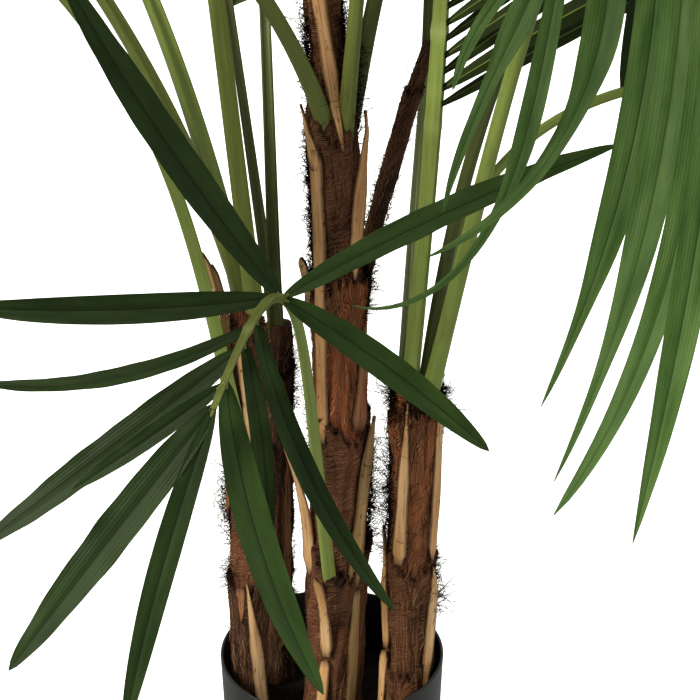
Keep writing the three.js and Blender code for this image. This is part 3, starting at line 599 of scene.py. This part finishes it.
def hairs(heap, trunk, turn, z, length, rng):  # curly fibres that stand out from the places given
    each = (len(turn), 1)
    out = np.stack([np.cos(turn), np.sin(turn), turn * 0], -1)
    around = np.stack([-np.sin(turn), np.cos(turn), turn * 0], -1)
    heading = out * rng.uniform(*hair["outward"], each) + around * rng.normal(0, hair["sideways"], each)
    heading = unit(heading + up * rng.normal(*hair["upward"], each))
    spin = unit(rng.normal(0, 1, heading.shape))
    curl = rng.normal(0, hair["curl"], each)
    step = (rng.gamma(3, length / 3, each) + hair["least"]) / hair["steps"]
    centres = [onTrunk(trunk, turn, z, trunkRadius(trunk, z))]
    for _ in range(hair["steps"]):
        jitter = rng.normal(0, hair["jitter"], heading.shape)
        heading = unit(heading + np.cross(spin, heading) * curl + jitter)
        centres.append(centres[-1] + heading * step)
    tones = rng.beta(*hair["tone"], len(turn))
    addFibres(heap, np.stack(centres, 1), tones, hair["radius"], rng)


def looseFibres(heap, trunk, seed, clothSeed):
    rng = np.random.default_rng(seed)
    top = trunk["top"][2]
    everywhere = [[180, 180, groundLevel, top, trunk["laid"] // hair["laidPerFluff"], hair["fluff"]]]
    for bearing, spread, low, high, few, length in trunk["tufts"] + everywhere:
        count = int(few * hair["crowd"])
        turn = np.radians(bearing + rng.normal(0, hair["spread"], count) * spread)
        knots = rng.uniform(low, high, max(3, count // hair["perKnot"]))
        z = mix(rng.uniform(low, high, count), rng.choice(knots, count), hair["gather"])
        hairs(heap, trunk, turn, np.clip(z, groundLevel + 1, top), length, rng)
    for index, rim in enumerate(trunk["rims"]):
        turn = rng.uniform(0, 2 * math.pi, int(trunkRadius(trunk, rim[0]) * hair["perRimRadius"]))
        z = rimHeights(trunk, turn, clothSeed)[index] + rng.uniform(-2, 1, len(turn))
        hairs(heap, trunk, turn, z, hair["rimHair"], rng)


def laidFibres(heap, trunk, seed, clothSeed):
    rng = np.random.default_rng(seed)
    each = (trunk["laid"], 1)
    t = np.linspace(-1, 1, laidForm["stations"])[None]
    top = trunk["top"][2]
    z0 = rng.uniform(groundLevel, top - 4, each)
    turn0 = rng.uniform(0, 2 * math.pi, each)
    field = np.sin(z0 / laidForm["field"] + np.sin(turn0 * 2 + seed) * 2) * laidForm["bias"]
    wide = rng.uniform(*laidForm["wide"], each) * (1.1 + field)
    tall = rng.uniform(*laidForm["tall"], each) * (1.1 - field)
    wave, pace = laidForm["wave"]
    z = z0 + tall * (t * np.sign(field) - 0.5 * t * t) + wave * np.sin(t * pace + z0)
    z = np.clip(z, groundLevel, top - 1)
    wave, pace = laidForm["sideWave"]
    turn = turn0 + (wide * t + wave * np.sin(t * pace + turn0 * 9)) / trunkRadius(trunk, z0)
    lift = rng.uniform(*laidForm["lift"], each) * (0.5 + t * t)
    radius = trunkSurface(trunk, turn, z, clothSeed)[0] + lift
    count = trunk["laid"]
    light = rng.random(count) < 0.5
    tones = np.where(light, rng.uniform(*laidForm["light"], count), rng.uniform(*laidForm["dark"], count))
    addFibres(heap, onTrunk(trunk, turn, z, radius), tones, laidForm["radius"], rng)


def makeTrunks():
    # each cloth's last colour is the painted shade in the troughs between its fibres
    cloths = dict(
        red=coirCloth("coir cloth, red brown", 0, "#633420", "#a85a34", "#c2926a", "#351c13"),
        umber=coirCloth("coir cloth, umber", 68, "#46271a", "#7c4931", "#b98a62", "#22130d"),
        worn=coirCloth("coir cloth, worn", 12, "#703d23", "#b4683f", "#d29c70", "#381f14"),
        dark=coirCloth("coir cloth, dark", 0, "#32201a", "#623f30", "#94704f", "#1c110d"))
    canes = dict(
        pale=splitCane("split cane sheath, pale", "#f0c690", "#d8a268", "#9c683a"),
        tan=splitCane("split cane sheath, tan", "#e0b07a", "#c48f5b", "#8a5d38"),
        olive=splitCane("split cane sheath, olive", "#bb9861", "#9c7749", "#68492c"),
        tawny=splitCane("split cane sheath, tawny", "#b57e52", "#93593a", "#5a3520"))
    strips = Heap()
    loose = {group: Heap() for group in fibreGroups}
    laid = {group: Heap() for group in fibreGroups}
    for index, (name, trunk) in enumerate(trunks.items()):
        clothSeed = seeds["cloth"] * index
        grid, marks, layer = trunkGrid(trunk, clothSeed)
        used = sorted(set(trunk["layers"]))
        slots = np.array([used.index(cloth) for cloth in trunk["layers"]])
        heap = Heap()
        heap.add(grid, marks, wrap=True, slot=slots[layer])
        makePiece(name + "Cloth", heap, [cloths[cloth] for cloth in used], [name])
        for k, strip in enumerate(trunk["strips"]):
            points, stains = stripGrid(trunk, strip, seeds["strip"] * index + k)
            strips.add(points, stains, wrap=True, slot=list(canes).index(strip[-1]))
        group = groupOf(name, fibreGroups)
        looseFibres(loose[group], trunk, seeds["loose"] + index, clothSeed)
        laidFibres(laid[group], trunk, seeds["laid"] + index, clothSeed)
    makePiece("caneStrips", strips, list(canes.values()), [], sharpAngle=55)
    looseCoir = singleCoir("loose coir fibre", "#0b0705", "#3a2217")
    laidCoir = singleCoir("laid coir fibre", "#2a1710", "#b88a60")
    for group in fibreGroups:
        makePiece("looseFibres" + group, loose[group], [looseCoir], [])
        makePiece("laidFibres" + group, laid[group], [laidCoir], [])


# fronds

# where on the blade its first and last leaflets are, the share of it that a bent leaflet keeps free of others
# on its side, how long the shortest are, and what part of a half wave their lengths follow
bladeForm = dict(places=(0.02, 0.99), bentRoom=0.1, least=0.62, swell=(0.25, 0.92), finer=2.2, lift=(24, 6),
                 swing=(22, 54), liftSpread=3, swingSpread=2.5, lengthSpread=(0.94, 1.02), deepShare=0.45)
# width for its length, the outline's powers, how much narrower a long tip is and how soon it gets so, the
# least half width and the root's, how far a root keeps from the blade's ends, where it starts to droop, and
# the folds, waves and twist of its surface
leafletForm = dict(width=0.07, widthSpread=(0.93, 1.07), outline=(0.5, 0.6), tipDepth=0.55, tipBlend=0.04,
                   thinnest=0.25, root=1.3, rootRoom=(3, 2), droopFrom=0.2, fold=0.24, foldSpread=0.05,
                   ridge=0.07, ridgeAt=0.28, ridgeWidth=0.13, wave=0.09, longWaves=(16, 26),
                   shortWaves=(40, 60), twist=(9, 12))
# stations along a leaflet, and lanes across it
leafletMesh = dict(
    bent=(40, [-1, -0.8, -0.5, -0.28, -0.1, 0, 0.1, 0.28, 0.5, 0.8, 1]),
    grown=(14, [-1, -0.5, -0.12, 0, 0.12, 0.5, 1]))
# the stalk narrows to its neck and on to the rib's tip, spreads to a sheath at its base, and has rings as
# joints where leaflets stand
stalkForm = dict(step=8, neck=0.35, ribTip=3.6, ringSpacing=26, ringRise=0.16, ringSharpness=40, ringTone=0.5,
                 base=0.35, baseLength=55)
socketForm = ((-1, 1.3), (1, 1.4), (3, 1.1), (5, 0.7))  # how far along the leaflet, and its radius there
lineSteps = 120

# place on the blade, side, swing towards the rib's tip, lift, length, width, sweep over its length, how late
# it sweeps, and where its long narrow tip starts, if it has one
nearLeaflets = [
    [0.0, -1, 15, 46, 250, 23, -10, 1],
    [0.02, 1, -12, 36, 230, 19, -13, 1],
    [0.0, 1, -15, -25, 160, 19.5, -13, 1],
    [0.12, -1, 14, -10, 195, 18.5, -11, 1],
    [0.42, 1, 57, -60, 190, 13.5, 29, 1],
    [0.5, -1, 32, -21, 165, 11, -38, 1],
    [0.6, 1, 57, -55, 125, 12, -16, 1],
    [0.66, -1, 36, -28, 185, 20, -3, 1],
    [0.84, 1, 73, -51, 180, 20, 23, 1],
    [0.86, -1, 36, -24, 100, 11, -3, 1],
    [0.97, -1, 48, -34, 180, 22, 2, 1],
    [0.99, -1, 68, -44, 180, 15, 10, 1],
]
hangingLeaflets = [
    [0.05, -1, -41, 8, 109, 9, 45, 1],
    [0.09, -1, -53, -23, 184, 19, 14, 4.3, 0.45],
    [0.13, -1, -60, -38, 296, 14, -100, 3.9, 0.55],
    [0.26, -1, -71, -59, 275, 23, -77, 1.5, 0.5],
    [0.42, -1, -61, -70, 350, 21, -32, 1, 0.79],
    [0.5, -1, -41, -73, 397, 21, -28, 1.4, 0.76],
    [0.57, -1, -7, -74, 421, 17, -37, 2.4],
    [0.64, -1, 18, -72, 422, 21, -11, 1.6, 0.95],
    [0.75, -1, 53, -60, 395, 18, -2, 3.2, 0.8],
    [0.86, -1, 65, -39, 348, 17, 4, 1.2, 0.85],
]

# lean: at the foot and at the tip; bend: where on the length it bends over, and how sharply; petiole: the
# stalk's share of the length; pairs, leaflet, droop: how many pairs of leaflets, their length and their droop
# own: what only this frond has, such as leaflets bent one by one and the plane that they face, other values
# for its blade (finer, lift, swing), its leaflets (slender: width for the length, paler: which ones are) or
# its stalk (neck, base, slim: the share of its width that is kept), its colours, and a blade in two parts
Frond = namedtuple("Frond", "foot bearing lean bend length petiole width pairs leaflet droop own")
fronds = dict(
    near=([0, -25, 214], 258, [17.4, 108.7], [0.69, 9], 488, 0.685, 11, 0, 210, 0.1,
          dict(bent=nearLeaflets, facing=[0, -0.8, 0.6], neck=0.62, base=0, leaf="deep", paler=(1, 2, 8),
               stalk="fresh", rib="dull")),
    left_low=([-69, -20, 372], 195, [10, 88], [0.58, 2.7], 800, 0.45, 11, 10, 290, 0.3,
              dict(parts=2, stalk="fresh")),
    left_high=([-62, -7, 460], 153, [19, 87], [3, 1.16], 860, 0.44, 12, 10, 290, 0.3, {}),
    left_back=([-65.5, 6, 460], 140, [16, 91], [3, 1.34], 900, 0.44, 13.5, 10, 300, 0.3,
               dict(stalk="fresh")),
    left_front=([-55, -21, 460], 247, [10.5, 130], [1.6, 4.3], 900, 0.48, 16.5, 10, 290, 0.3,
                dict(parts=2, slim=0.76, base=0.1)),
    back_left=([-44, 47, 422], 114, [19.5, 78], [3, 2.67], 960, 0.24, 9, 11, 300, 0.3,
               dict(stalk="shaded")),
    back=([-42, 33, 422], 96, [12, 100], [2, 1.62], 960, 0.45, 9.5, 10, 300, 0.3,
          dict(parts=2, stalk="shaded")),
    node_left=([-3, -4, 588], 229, [21, 90], [3, 0.8], 780, 0.42, 10.5, 10, 280, 0.35,
               dict(parts=2, stalk="dull")),
    node_front=([12, -4, 584], 291, [13, 108], [1.95, 3], 860, 0.5, 10, 10, 280, 0.3,
                dict(stalk="dull")),
    node_right=([15, 20, 584], 342, [10, 92], [2.26, 1.61], 900, 0.45, 11.5, 10, 290, 0.3,
                dict(stalk="shaded")),
    node_back=([4, 22, 584], 40, [0, 96], [2, 2.4], 900, 0.44, 9, 10, 290, 0.3,
               dict(parts=2, stalk="dull")),
    right_back=([59, -8, 384], 166, [-4, 53], [3, 2.9], 900, 0.23, 15.5, 12, 280, 0.1,
                dict(lift=[52, 25], swing=[66, 60], finer=2.6, slender=0.05, slim=0.8, neck=0, leaf="ribbed",
                     stalk="fresh")),
    right_mid=([71, 4, 384], 325, [7, 75], [3, 1.46], 880, 0.42, 10, 10, 290, 0.25,
               dict(parts=2, stalk="shaded")),
    right_near=([73, -15, 384], 308, [15.6, 164], [2.5, 4.4], 655, 0.517, 13, 8, 420, 0.23,
                dict(bent=hangingLeaflets, facing=[0, -0.8, 0.6], lift=[-51, -66], swing=[-6, 13], finer=1,
                     slender=0.042, slim=0.87, leaf="bright", stalk="fresh")),
    right_low=([71, 14, 384], 342, [7, 112], [0.45, 2.7], 600, 0.47, 9, 8, 230, 0.15,
               dict(lift=[50, 30], swing=[40, 54], stalk="fresh")),
    right_behind=([49, 11, 236], 83, [19.5, 70], [2, 0.8], 1060, 0.48, 9, 10, 290, 0.3,
                  dict(parts=2, stalk="shaded")),
    thin=([72, 52, 636], 66, [0, 90], [2, 2], 760, 0.36, 8, 10, 270, 0.3, dict(stalk="shaded")),
    crown_right=([-15, 7, 874], 12, [8, 64], [2, 2], 940, 0.4, 8, 10, 290, 0.28, dict(stalk="dull")),
    crown_left=([-25, 10, 874], 192, [8, 74], [2, 1.8], 920, 0.4, 8, 10, 290, 0.28, dict(stalk="dull")),
    crown_back=([-16, 17, 820], 100, [11, 84], [2, 1.6], 880, 0.4, 8, 10, 290, 0.3, dict(stalk="dull")),
    crown_front=([-12, -2, 790], 278, [11, 80], [2, 1.6], 860, 0.42, 8, 10, 280, 0.3, dict(stalk="dull")),
)
# the leaflets' pieces, each with the fronds whose names start so
leafletGroups = dict(Near=("near", "right_near"), Left=("left", "back"), Middle=("node", "crown"),
                     Right=("right", "thin"))


# the frond's middle line, whose lean grows from foot to tip in an s-curve, read at any distance along it
class FrondLine:
    def __init__(self, frond):
        turn = math.radians(frond.bearing)
        heading = np.array([math.cos(turn), math.sin(turn), 0])
        share = np.linspace(0, 1, lineSteps + 1)
        middle, sharpness = frond.bend
        rise = share ** sharpness / (share ** sharpness + middle ** sharpness)
        angle = np.radians(mix(*frond.lean, rise / rise[-1]))[:, None]
        self.ahead = heading * np.sin(angle) + up * np.cos(angle)
        self.upper = -heading * np.cos(angle) + up * np.sin(angle)
        steps = np.concatenate([np.zeros((1, 3)), np.cumsum(self.ahead[:-1], 0)]) * (frond.length / lineSteps)
        self.places = np.array(frond.foot, float) + steps
        self.side = np.array([-heading[1], heading[0], 0])
        self.length = frond.length

    def at(self, distance):
        position = np.clip(np.asarray(distance, float) / self.length * lineSteps, 0, lineSteps)
        index = np.arange(lineSteps + 1)
        read = lambda table: np.stack([np.interp(position, index, table[:, k]) for k in range(3)], -1)
        return read(self.places), unit(read(self.ahead)), unit(read(self.upper))


def stalkWidth(frond, share):
    neck = mix(frond.width, stalkForm["ribTip"], frond.own.get("neck", stalkForm["neck"]))
    low = mix(frond.width, neck, np.minimum(share / frond.petiole, 1))
    along = np.clip((share - frond.petiole) / (1 - frond.petiole), 0, 1)
    return np.where(share < frond.petiole, low, mix(neck, stalkForm["ribTip"], along))


# the stalk's section, from its channelled upper side round sharp shoulders to a keel, as [across, deep]
halfSection = [[0.42, 0.52], [0.72, 0.78], [0.97, 0.72], [1.0, 0.5], [0.78, -0.25], [0.5, -0.85],
               [0.2, -1.05]]
stalkSection = [[-across, deep] for across, deep in halfSection[2::-1]] + [[0, 0.42]] + halfSection
stalkSection += [[-across, deep] for across, deep in halfSection[:2:-1]]


def stalkGrid(line, frond, seed):
    distance = np.linspace(0, frond.length, int(frond.length / stalkForm["step"]) + 1)
    place, _, upper = line.at(distance)
    across, deep = np.array(stalkSection).T
    blade = distance > frond.petiole * frond.length
    ring = np.cos(2 * math.pi * distance / stalkForm["ringSpacing"]) ** stalkForm["ringSharpness"] * blade
    base = frond.own.get("base", stalkForm["base"]) * np.exp(-distance / stalkForm["baseLength"])
    half = stalkWidth(frond, distance / frond.length) / 2 * frond.own.get("slim", 1)
    wide = half * (1 + base + stalkForm["ringRise"] * ring)
    thick = half * (1 + stalkForm["ringRise"] * ring)
    grid = place[:, None] + line.side * (wide[:, None] * across)[..., None]
    grid = grid + upper[:, None] * (thick[:, None] * deep)[..., None]
    around = across * 3 + deep * 2 + seed
    tone = ring[:, None] * stalkForm["ringTone"]
    marks = np.broadcast_arrays(around, distance[:, None] + seed * shift["stalk"], tone)
    return grid, np.stack(marks, -1), np.repeat(blade[1:], len(across))


def leafletPlan(frond, rng):
    bent = frond.own.get("bent", [])
    names = ("place", "side", "swing", "lift", "length", "width", "sweep", "late", "narrowAt")
    plan = [dict(zip(names, row + [2] * (len(names) - len(row))), kind="bent") for row in bent]
    count = int(frond.pairs * 2 * frond.own.get("finer", bladeForm["finer"]))
    lift, swing = (frond.own.get(key, bladeForm[key]) for key in ("lift", "swing"))
    for i in range(count):
        place = mix(*bladeForm["places"], i / (count - 1))
        arch = math.sin(math.pi * mix(*bladeForm["swell"], place))
        side = 1 if i % 2 else -1
        if any(row[1] == side and abs(row[0] - place) < bladeForm["bentRoom"] for row in bent):
            continue
        length = frond.leaflet * mix(bladeForm["least"], 1, arch)
        plan.append(dict(
            place=place, side=side, kind="grown",
            swing=mix(*swing, place) + rng.normal(0, bladeForm["swingSpread"]),
            lift=mix(*lift, place) + rng.normal(0, bladeForm["liftSpread"]),
            length=length * rng.uniform(*bladeForm["lengthSpread"])))
    return plan


def turned(vector, axis, angles):  # one vector turned about an axis by each of the angles
    c, s = np.cos(angles)[:, None], np.sin(angles)[:, None]
    return vector * c + np.cross(axis, vector) * s + axis * (vector @ axis) * (1 - c)


def edgeWave(share, rng):  # a long wave that grows towards the tip, with a short one on it
    wave = np.sin(share * rng.uniform(*leafletForm["longWaves"]) + rng.uniform(0, 6)) * share ** 0.5
    return leafletForm["wave"] * (wave + 0.5 * np.sin(share * rng.uniform(*leafletForm["shortWaves"])))


def leafletGrid(line, frond, item, rng):
    own, side = frond.own, item["side"]
    bladeFoot = frond.length * frond.petiole
    root = mix(bladeFoot, frond.length, item["place"])
    fromFoot, fromTip = leafletForm["rootRoom"]
    root = np.clip(root, bladeFoot + fromFoot, frond.length - fromTip)
    place, ahead, upper = (v[0] for v in line.at([root]))
    swing, lift = math.radians(item["swing"]), math.radians(item["lift"])
    start = line.side * side * math.cos(lift) * math.cos(swing)
    start = unit(start + ahead * math.cos(lift) * math.sin(swing) + upper * math.sin(lift))
    stations, laneList = leafletMesh[item["kind"]]
    share = np.linspace(0, 1, stations)
    lanes = np.array(laneList)
    rootPower, tipPower = leafletForm["outline"]
    outline = share ** rootPower * (1 - share) ** tipPower
    outline = outline / outline.max()
    if item["kind"] == "bent":  # it sweeps round in the plane that it faces
        facing = unit(np.array(own["facing"]))
        direction = turned(start, facing, math.radians(item["sweep"]) * share ** item["late"])
        above = unit(facing - direction * (direction @ facing)[:, None])
        full = item["width"]
        tip = 1 / (1 + np.exp((item["narrowAt"] - share) / leafletForm["tipBlend"]))
        outline = outline * (1 - leafletForm["tipDepth"] * tip)
    else:
        weight = np.clip(share - leafletForm["droopFrom"], 0, None) * 2
        direction = unit(start - up * frond.droop * weight[:, None])
        above = unit(np.cross(ahead, direction)) * side
        full = own.get("slender", leafletForm["width"]) * item["length"]
        full = full * rng.uniform(*leafletForm["widthSpread"])
    steps = np.diff(share)[:, None] * item["length"] * (direction[1:] + direction[:-1]) / 2
    centre = place + np.concatenate([np.zeros((1, 3)), np.cumsum(steps, 0)])
    across = np.cross(direction, above) * side
    wholeTwist, tipTwist = leafletForm["twist"]
    twist = np.radians(rng.normal(0, wholeTwist) + rng.normal(0, tipTwist) * share)
    c, s = np.cos(twist)[:, None], np.sin(twist)[:, None]
    above, across = above * c + across * s, across * c - above * s
    half = np.maximum(full / 2 * outline, leafletForm["thinnest"])
    half[0] = leafletForm["root"]
    # from the sunk middle crease the blade rises to a pressed ridge on each side and falls to its edge
    left, right = edgeWave(share, rng), edgeWave(share, rng)
    fold = leafletForm["fold"] + rng.normal(0, leafletForm["foldSpread"])
    out = np.abs(lanes)
    ridge = np.exp(-((out - leafletForm["ridgeAt"]) / leafletForm["ridgeWidth"]) ** 2)
    deep = out * fold + leafletForm["ridge"] * ridge
    deep = deep + np.where(lanes < 0, left[:, None], right[:, None]) * out ** 3
    grid = centre[:, None] + across[:, None] * (half[:, None] * lanes)[..., None]
    grid = grid + above[:, None] * (half[:, None] * (deep - fold * 0.5))[..., None]
    seed = rng.random()
    marks = np.broadcast_arrays(lanes, (share * item["length"])[:, None] + seed * shift["leaflet"], seed)
    return grid, np.stack(marks, -1), centre, direction


def crossesTrunk(centre):  # true where a leaflet's line comes within 3 mm of a trunk
    for trunk in trunks.values():
        low = centre[(centre[:, 2] > groundLevel) & (centre[:, 2] < trunk["top"][2])]
        apart = np.linalg.norm((low - trunkAxis(trunk, low[:, 2]))[:, :2], axis=1)
        if np.any(apart - trunkRadius(trunk, low[:, 2]) < 3):
            return True
    return False


def socketGrid(centre, direction):  # the short moulded socket that a leaflet is pushed into
    side = unit(np.cross(direction[0], up + np.array([0.01, 0.02, 0])))
    other = np.cross(direction[0], side)
    turn = np.linspace(0, 2 * math.pi, 7, endpoint=False)
    ring = np.cos(turn)[:, None] * side + np.sin(turn)[:, None] * other
    return np.stack([centre[0] + direction[0] * along + ring * radius for along, radius in socketForm])


def makeFronds():
    # copies of one green polyethylene in steps from light to dark, standing in for lit and shaded stalks; the
    # dull and shaded copies are painted shade, as on the near frond's rib
    stalks = dict(
        fresh=mouldedPolyethylene("moulded polyethylene, fresh green", "#97a853", "#80923f", "#b8c27a"),
        plain=mouldedPolyethylene("moulded polyethylene, green", "#8f9a44", "#707c34", "#a9ae66"),
        dull=mouldedPolyethylene("moulded polyethylene, green darkened for painted shade", "#7f8840", "#626b2e", "#a0a560"),
        shaded=mouldedPolyethylene("moulded polyethylene, olive darkest for painted shade", "#5a622e", "#404820", "#8a9052"))
    leaves = dict(
        deep=coatedCloth("coated polyester cloth, deep green", "#1e300f", "#31451c", "#121d09"),
        plain=coatedCloth("coated polyester cloth, green", "#2b4016", "#425a27", "#18270c"),
        # the fresh green's pale patches and lighter base are partly painted sheen
        bright=coatedCloth("coated polyester cloth, fresh green with painted sheen", "#38571f", "#648043", "#273e12"),
        ribbed=coatedCloth("coated polyester cloth, dark with a pale rib", "#24300f", "#34401a", "#8d9846"))
    stalkNames, leafNames = list(stalks), list(leaves)
    heaps = {group: Heap() for group in leafletGroups}
    replaced = {group: [] for group in leafletGroups}
    stalkHeap, socketHeap = Heap(), Heap()
    for index, (name, row) in enumerate(fronds.items()):
        rng = np.random.default_rng(seeds["frond"] + index)
        frond = Frond(*row)
        line = FrondLine(frond)
        own = frond.own
        stalk = own.get("stalk", "plain")
        stalkSlot, ribSlot = stalkNames.index(stalk), stalkNames.index(own.get("rib", stalk))
        grid, marks, onRib = stalkGrid(line, frond, index)
        stalkHeap.add(grid, marks, wrap=True, slot=np.where(onRib, ribSlot, stalkSlot))
        group = groupOf(name, leafletGroups)
        for k, item in enumerate(leafletPlan(frond, rng)):
            grid, marks, centre, direction = leafletGrid(line, frond, item, rng)
            if item["kind"] == "grown" and crossesTrunk(centre[1:]):
                continue
            tint = own.get("leaf") or ("deep" if rng.random() < bladeForm["deepShare"] else "plain")
            if k in own.get("paler", ()):
                tint = "plain"
            heaps[group].add(grid, marks, slot=leafNames.index(tint))
            socket = socketGrid(centre, direction)
            socketHeap.add(socket, (1.5, index * shift["socket"], 0), wrap=True, slot=ribSlot)
        spans = ("_blade_inner", "_blade_outer") if own.get("parts") == 2 else ("_blade",)
        replaced[group] += [name + span for span in spans]
    petioles = [name + "_petiole" for name in fronds]
    makePiece("stalks", stalkHeap, list(stalks.values()), petioles, sharpAngle=38)
    makePiece("leafletSockets", socketHeap, list(stalks.values()), [])
    for group, heap in heaps.items():
        makePiece("leaflets" + group, heap, list(leaves.values()), replaced[group], sharpAngle=60)


# stage, lights and camera

stage = dict(floorSize=400, floorGlow=0.75, worldTone="#f1f2ee", worldStrength=0.42)
lights = dict(
    key=dict(bearing=212, height=44, strength=4.3, softness=20, tone="#fffaf0"),
    side=dict(bearing=335, height=30, strength=0.75, softness=50, tone="#f4f8ff"),
    top=dict(bearing=80, height=68, strength=0.7, softness=60, tone="#ffffff"),
)
view = dict(place=(14.54, -997.0, 825.13), pitch=22.095, focal=74.57, sensor=36)


def makeStage():
    half = stage["floorSize"] / 2
    corners = [(-half, -half, 0), (half, -half, 0), (half, half, 0), (-half, half, 0)]
    material, add = newMaterial("matt white floor", "#f2f2f0")
    place = add("TexCoord")
    grain = add("TexNoise", {"Scale": 60, "Detail": 3}, {"Vector": place})
    colour = add("Mix", {6: "#efefed", 7: "#f6f6f5"}, {0: grain})
    glow = {"Emission Color": "#ffffff", "Emission Strength": stage["floorGlow"]}
    shader = add("BsdfPrincipled", {"Roughness": 0.9, "Specular IOR Level": 0.1, **glow},
                 {"Base Color": colour})
    add("OutputMaterial", links={"Surface": shader})
    mesh = bpy.data.meshes.new("floor")
    mesh.from_pydata(corners, [], [(0, 1, 2, 3)])
    mesh.materials.append(material)
    floor = bpy.data.objects.new("floor", mesh)
    bpy.context.scene.collection.objects.link(floor)
    floor.visible_diffuse = False  # its glow is for the eye only, and lights nothing
    floor.visible_glossy = False
    world = bpy.data.worlds.new("studio")
    world.use_nodes = True
    world.node_tree.nodes["Background"].inputs["Color"].default_value = fromHex(stage["worldTone"])
    world.node_tree.nodes["Background"].inputs["Strength"].default_value = stage["worldStrength"]
    bpy.context.scene.world = world


def makeLights():
    for name, light in lights.items():
        data = bpy.data.lights.new(name, "SUN")
        data.energy = light["strength"]
        data.angle = math.radians(light["softness"])
        data.color = fromHex(light["tone"])[:3]
        lamp = bpy.data.objects.new(name, data)
        lamp.rotation_euler = (math.radians(90 - light["height"]), 0, math.radians(light["bearing"] + 90))
        bpy.context.scene.collection.objects.link(lamp)


def makeCamera():
    data = bpy.data.cameras.new("camera")
    data.lens = view["focal"]
    data.sensor_width = view["sensor"]
    camera = bpy.data.objects.new("camera", data)
    camera.location = [p * metre for p in view["place"]]
    camera.rotation_euler = (math.radians(90 - view["pitch"]), 0, 0)
    bpy.context.scene.collection.objects.link(camera)
    bpy.context.scene.camera = camera


makePot()
makeFill()
makeTrunks()
makeFronds()
makeStage()
makeLights()
makeCamera()
bpy.context.scene.view_settings.view_transform = "Standard"
print("stage and camera")
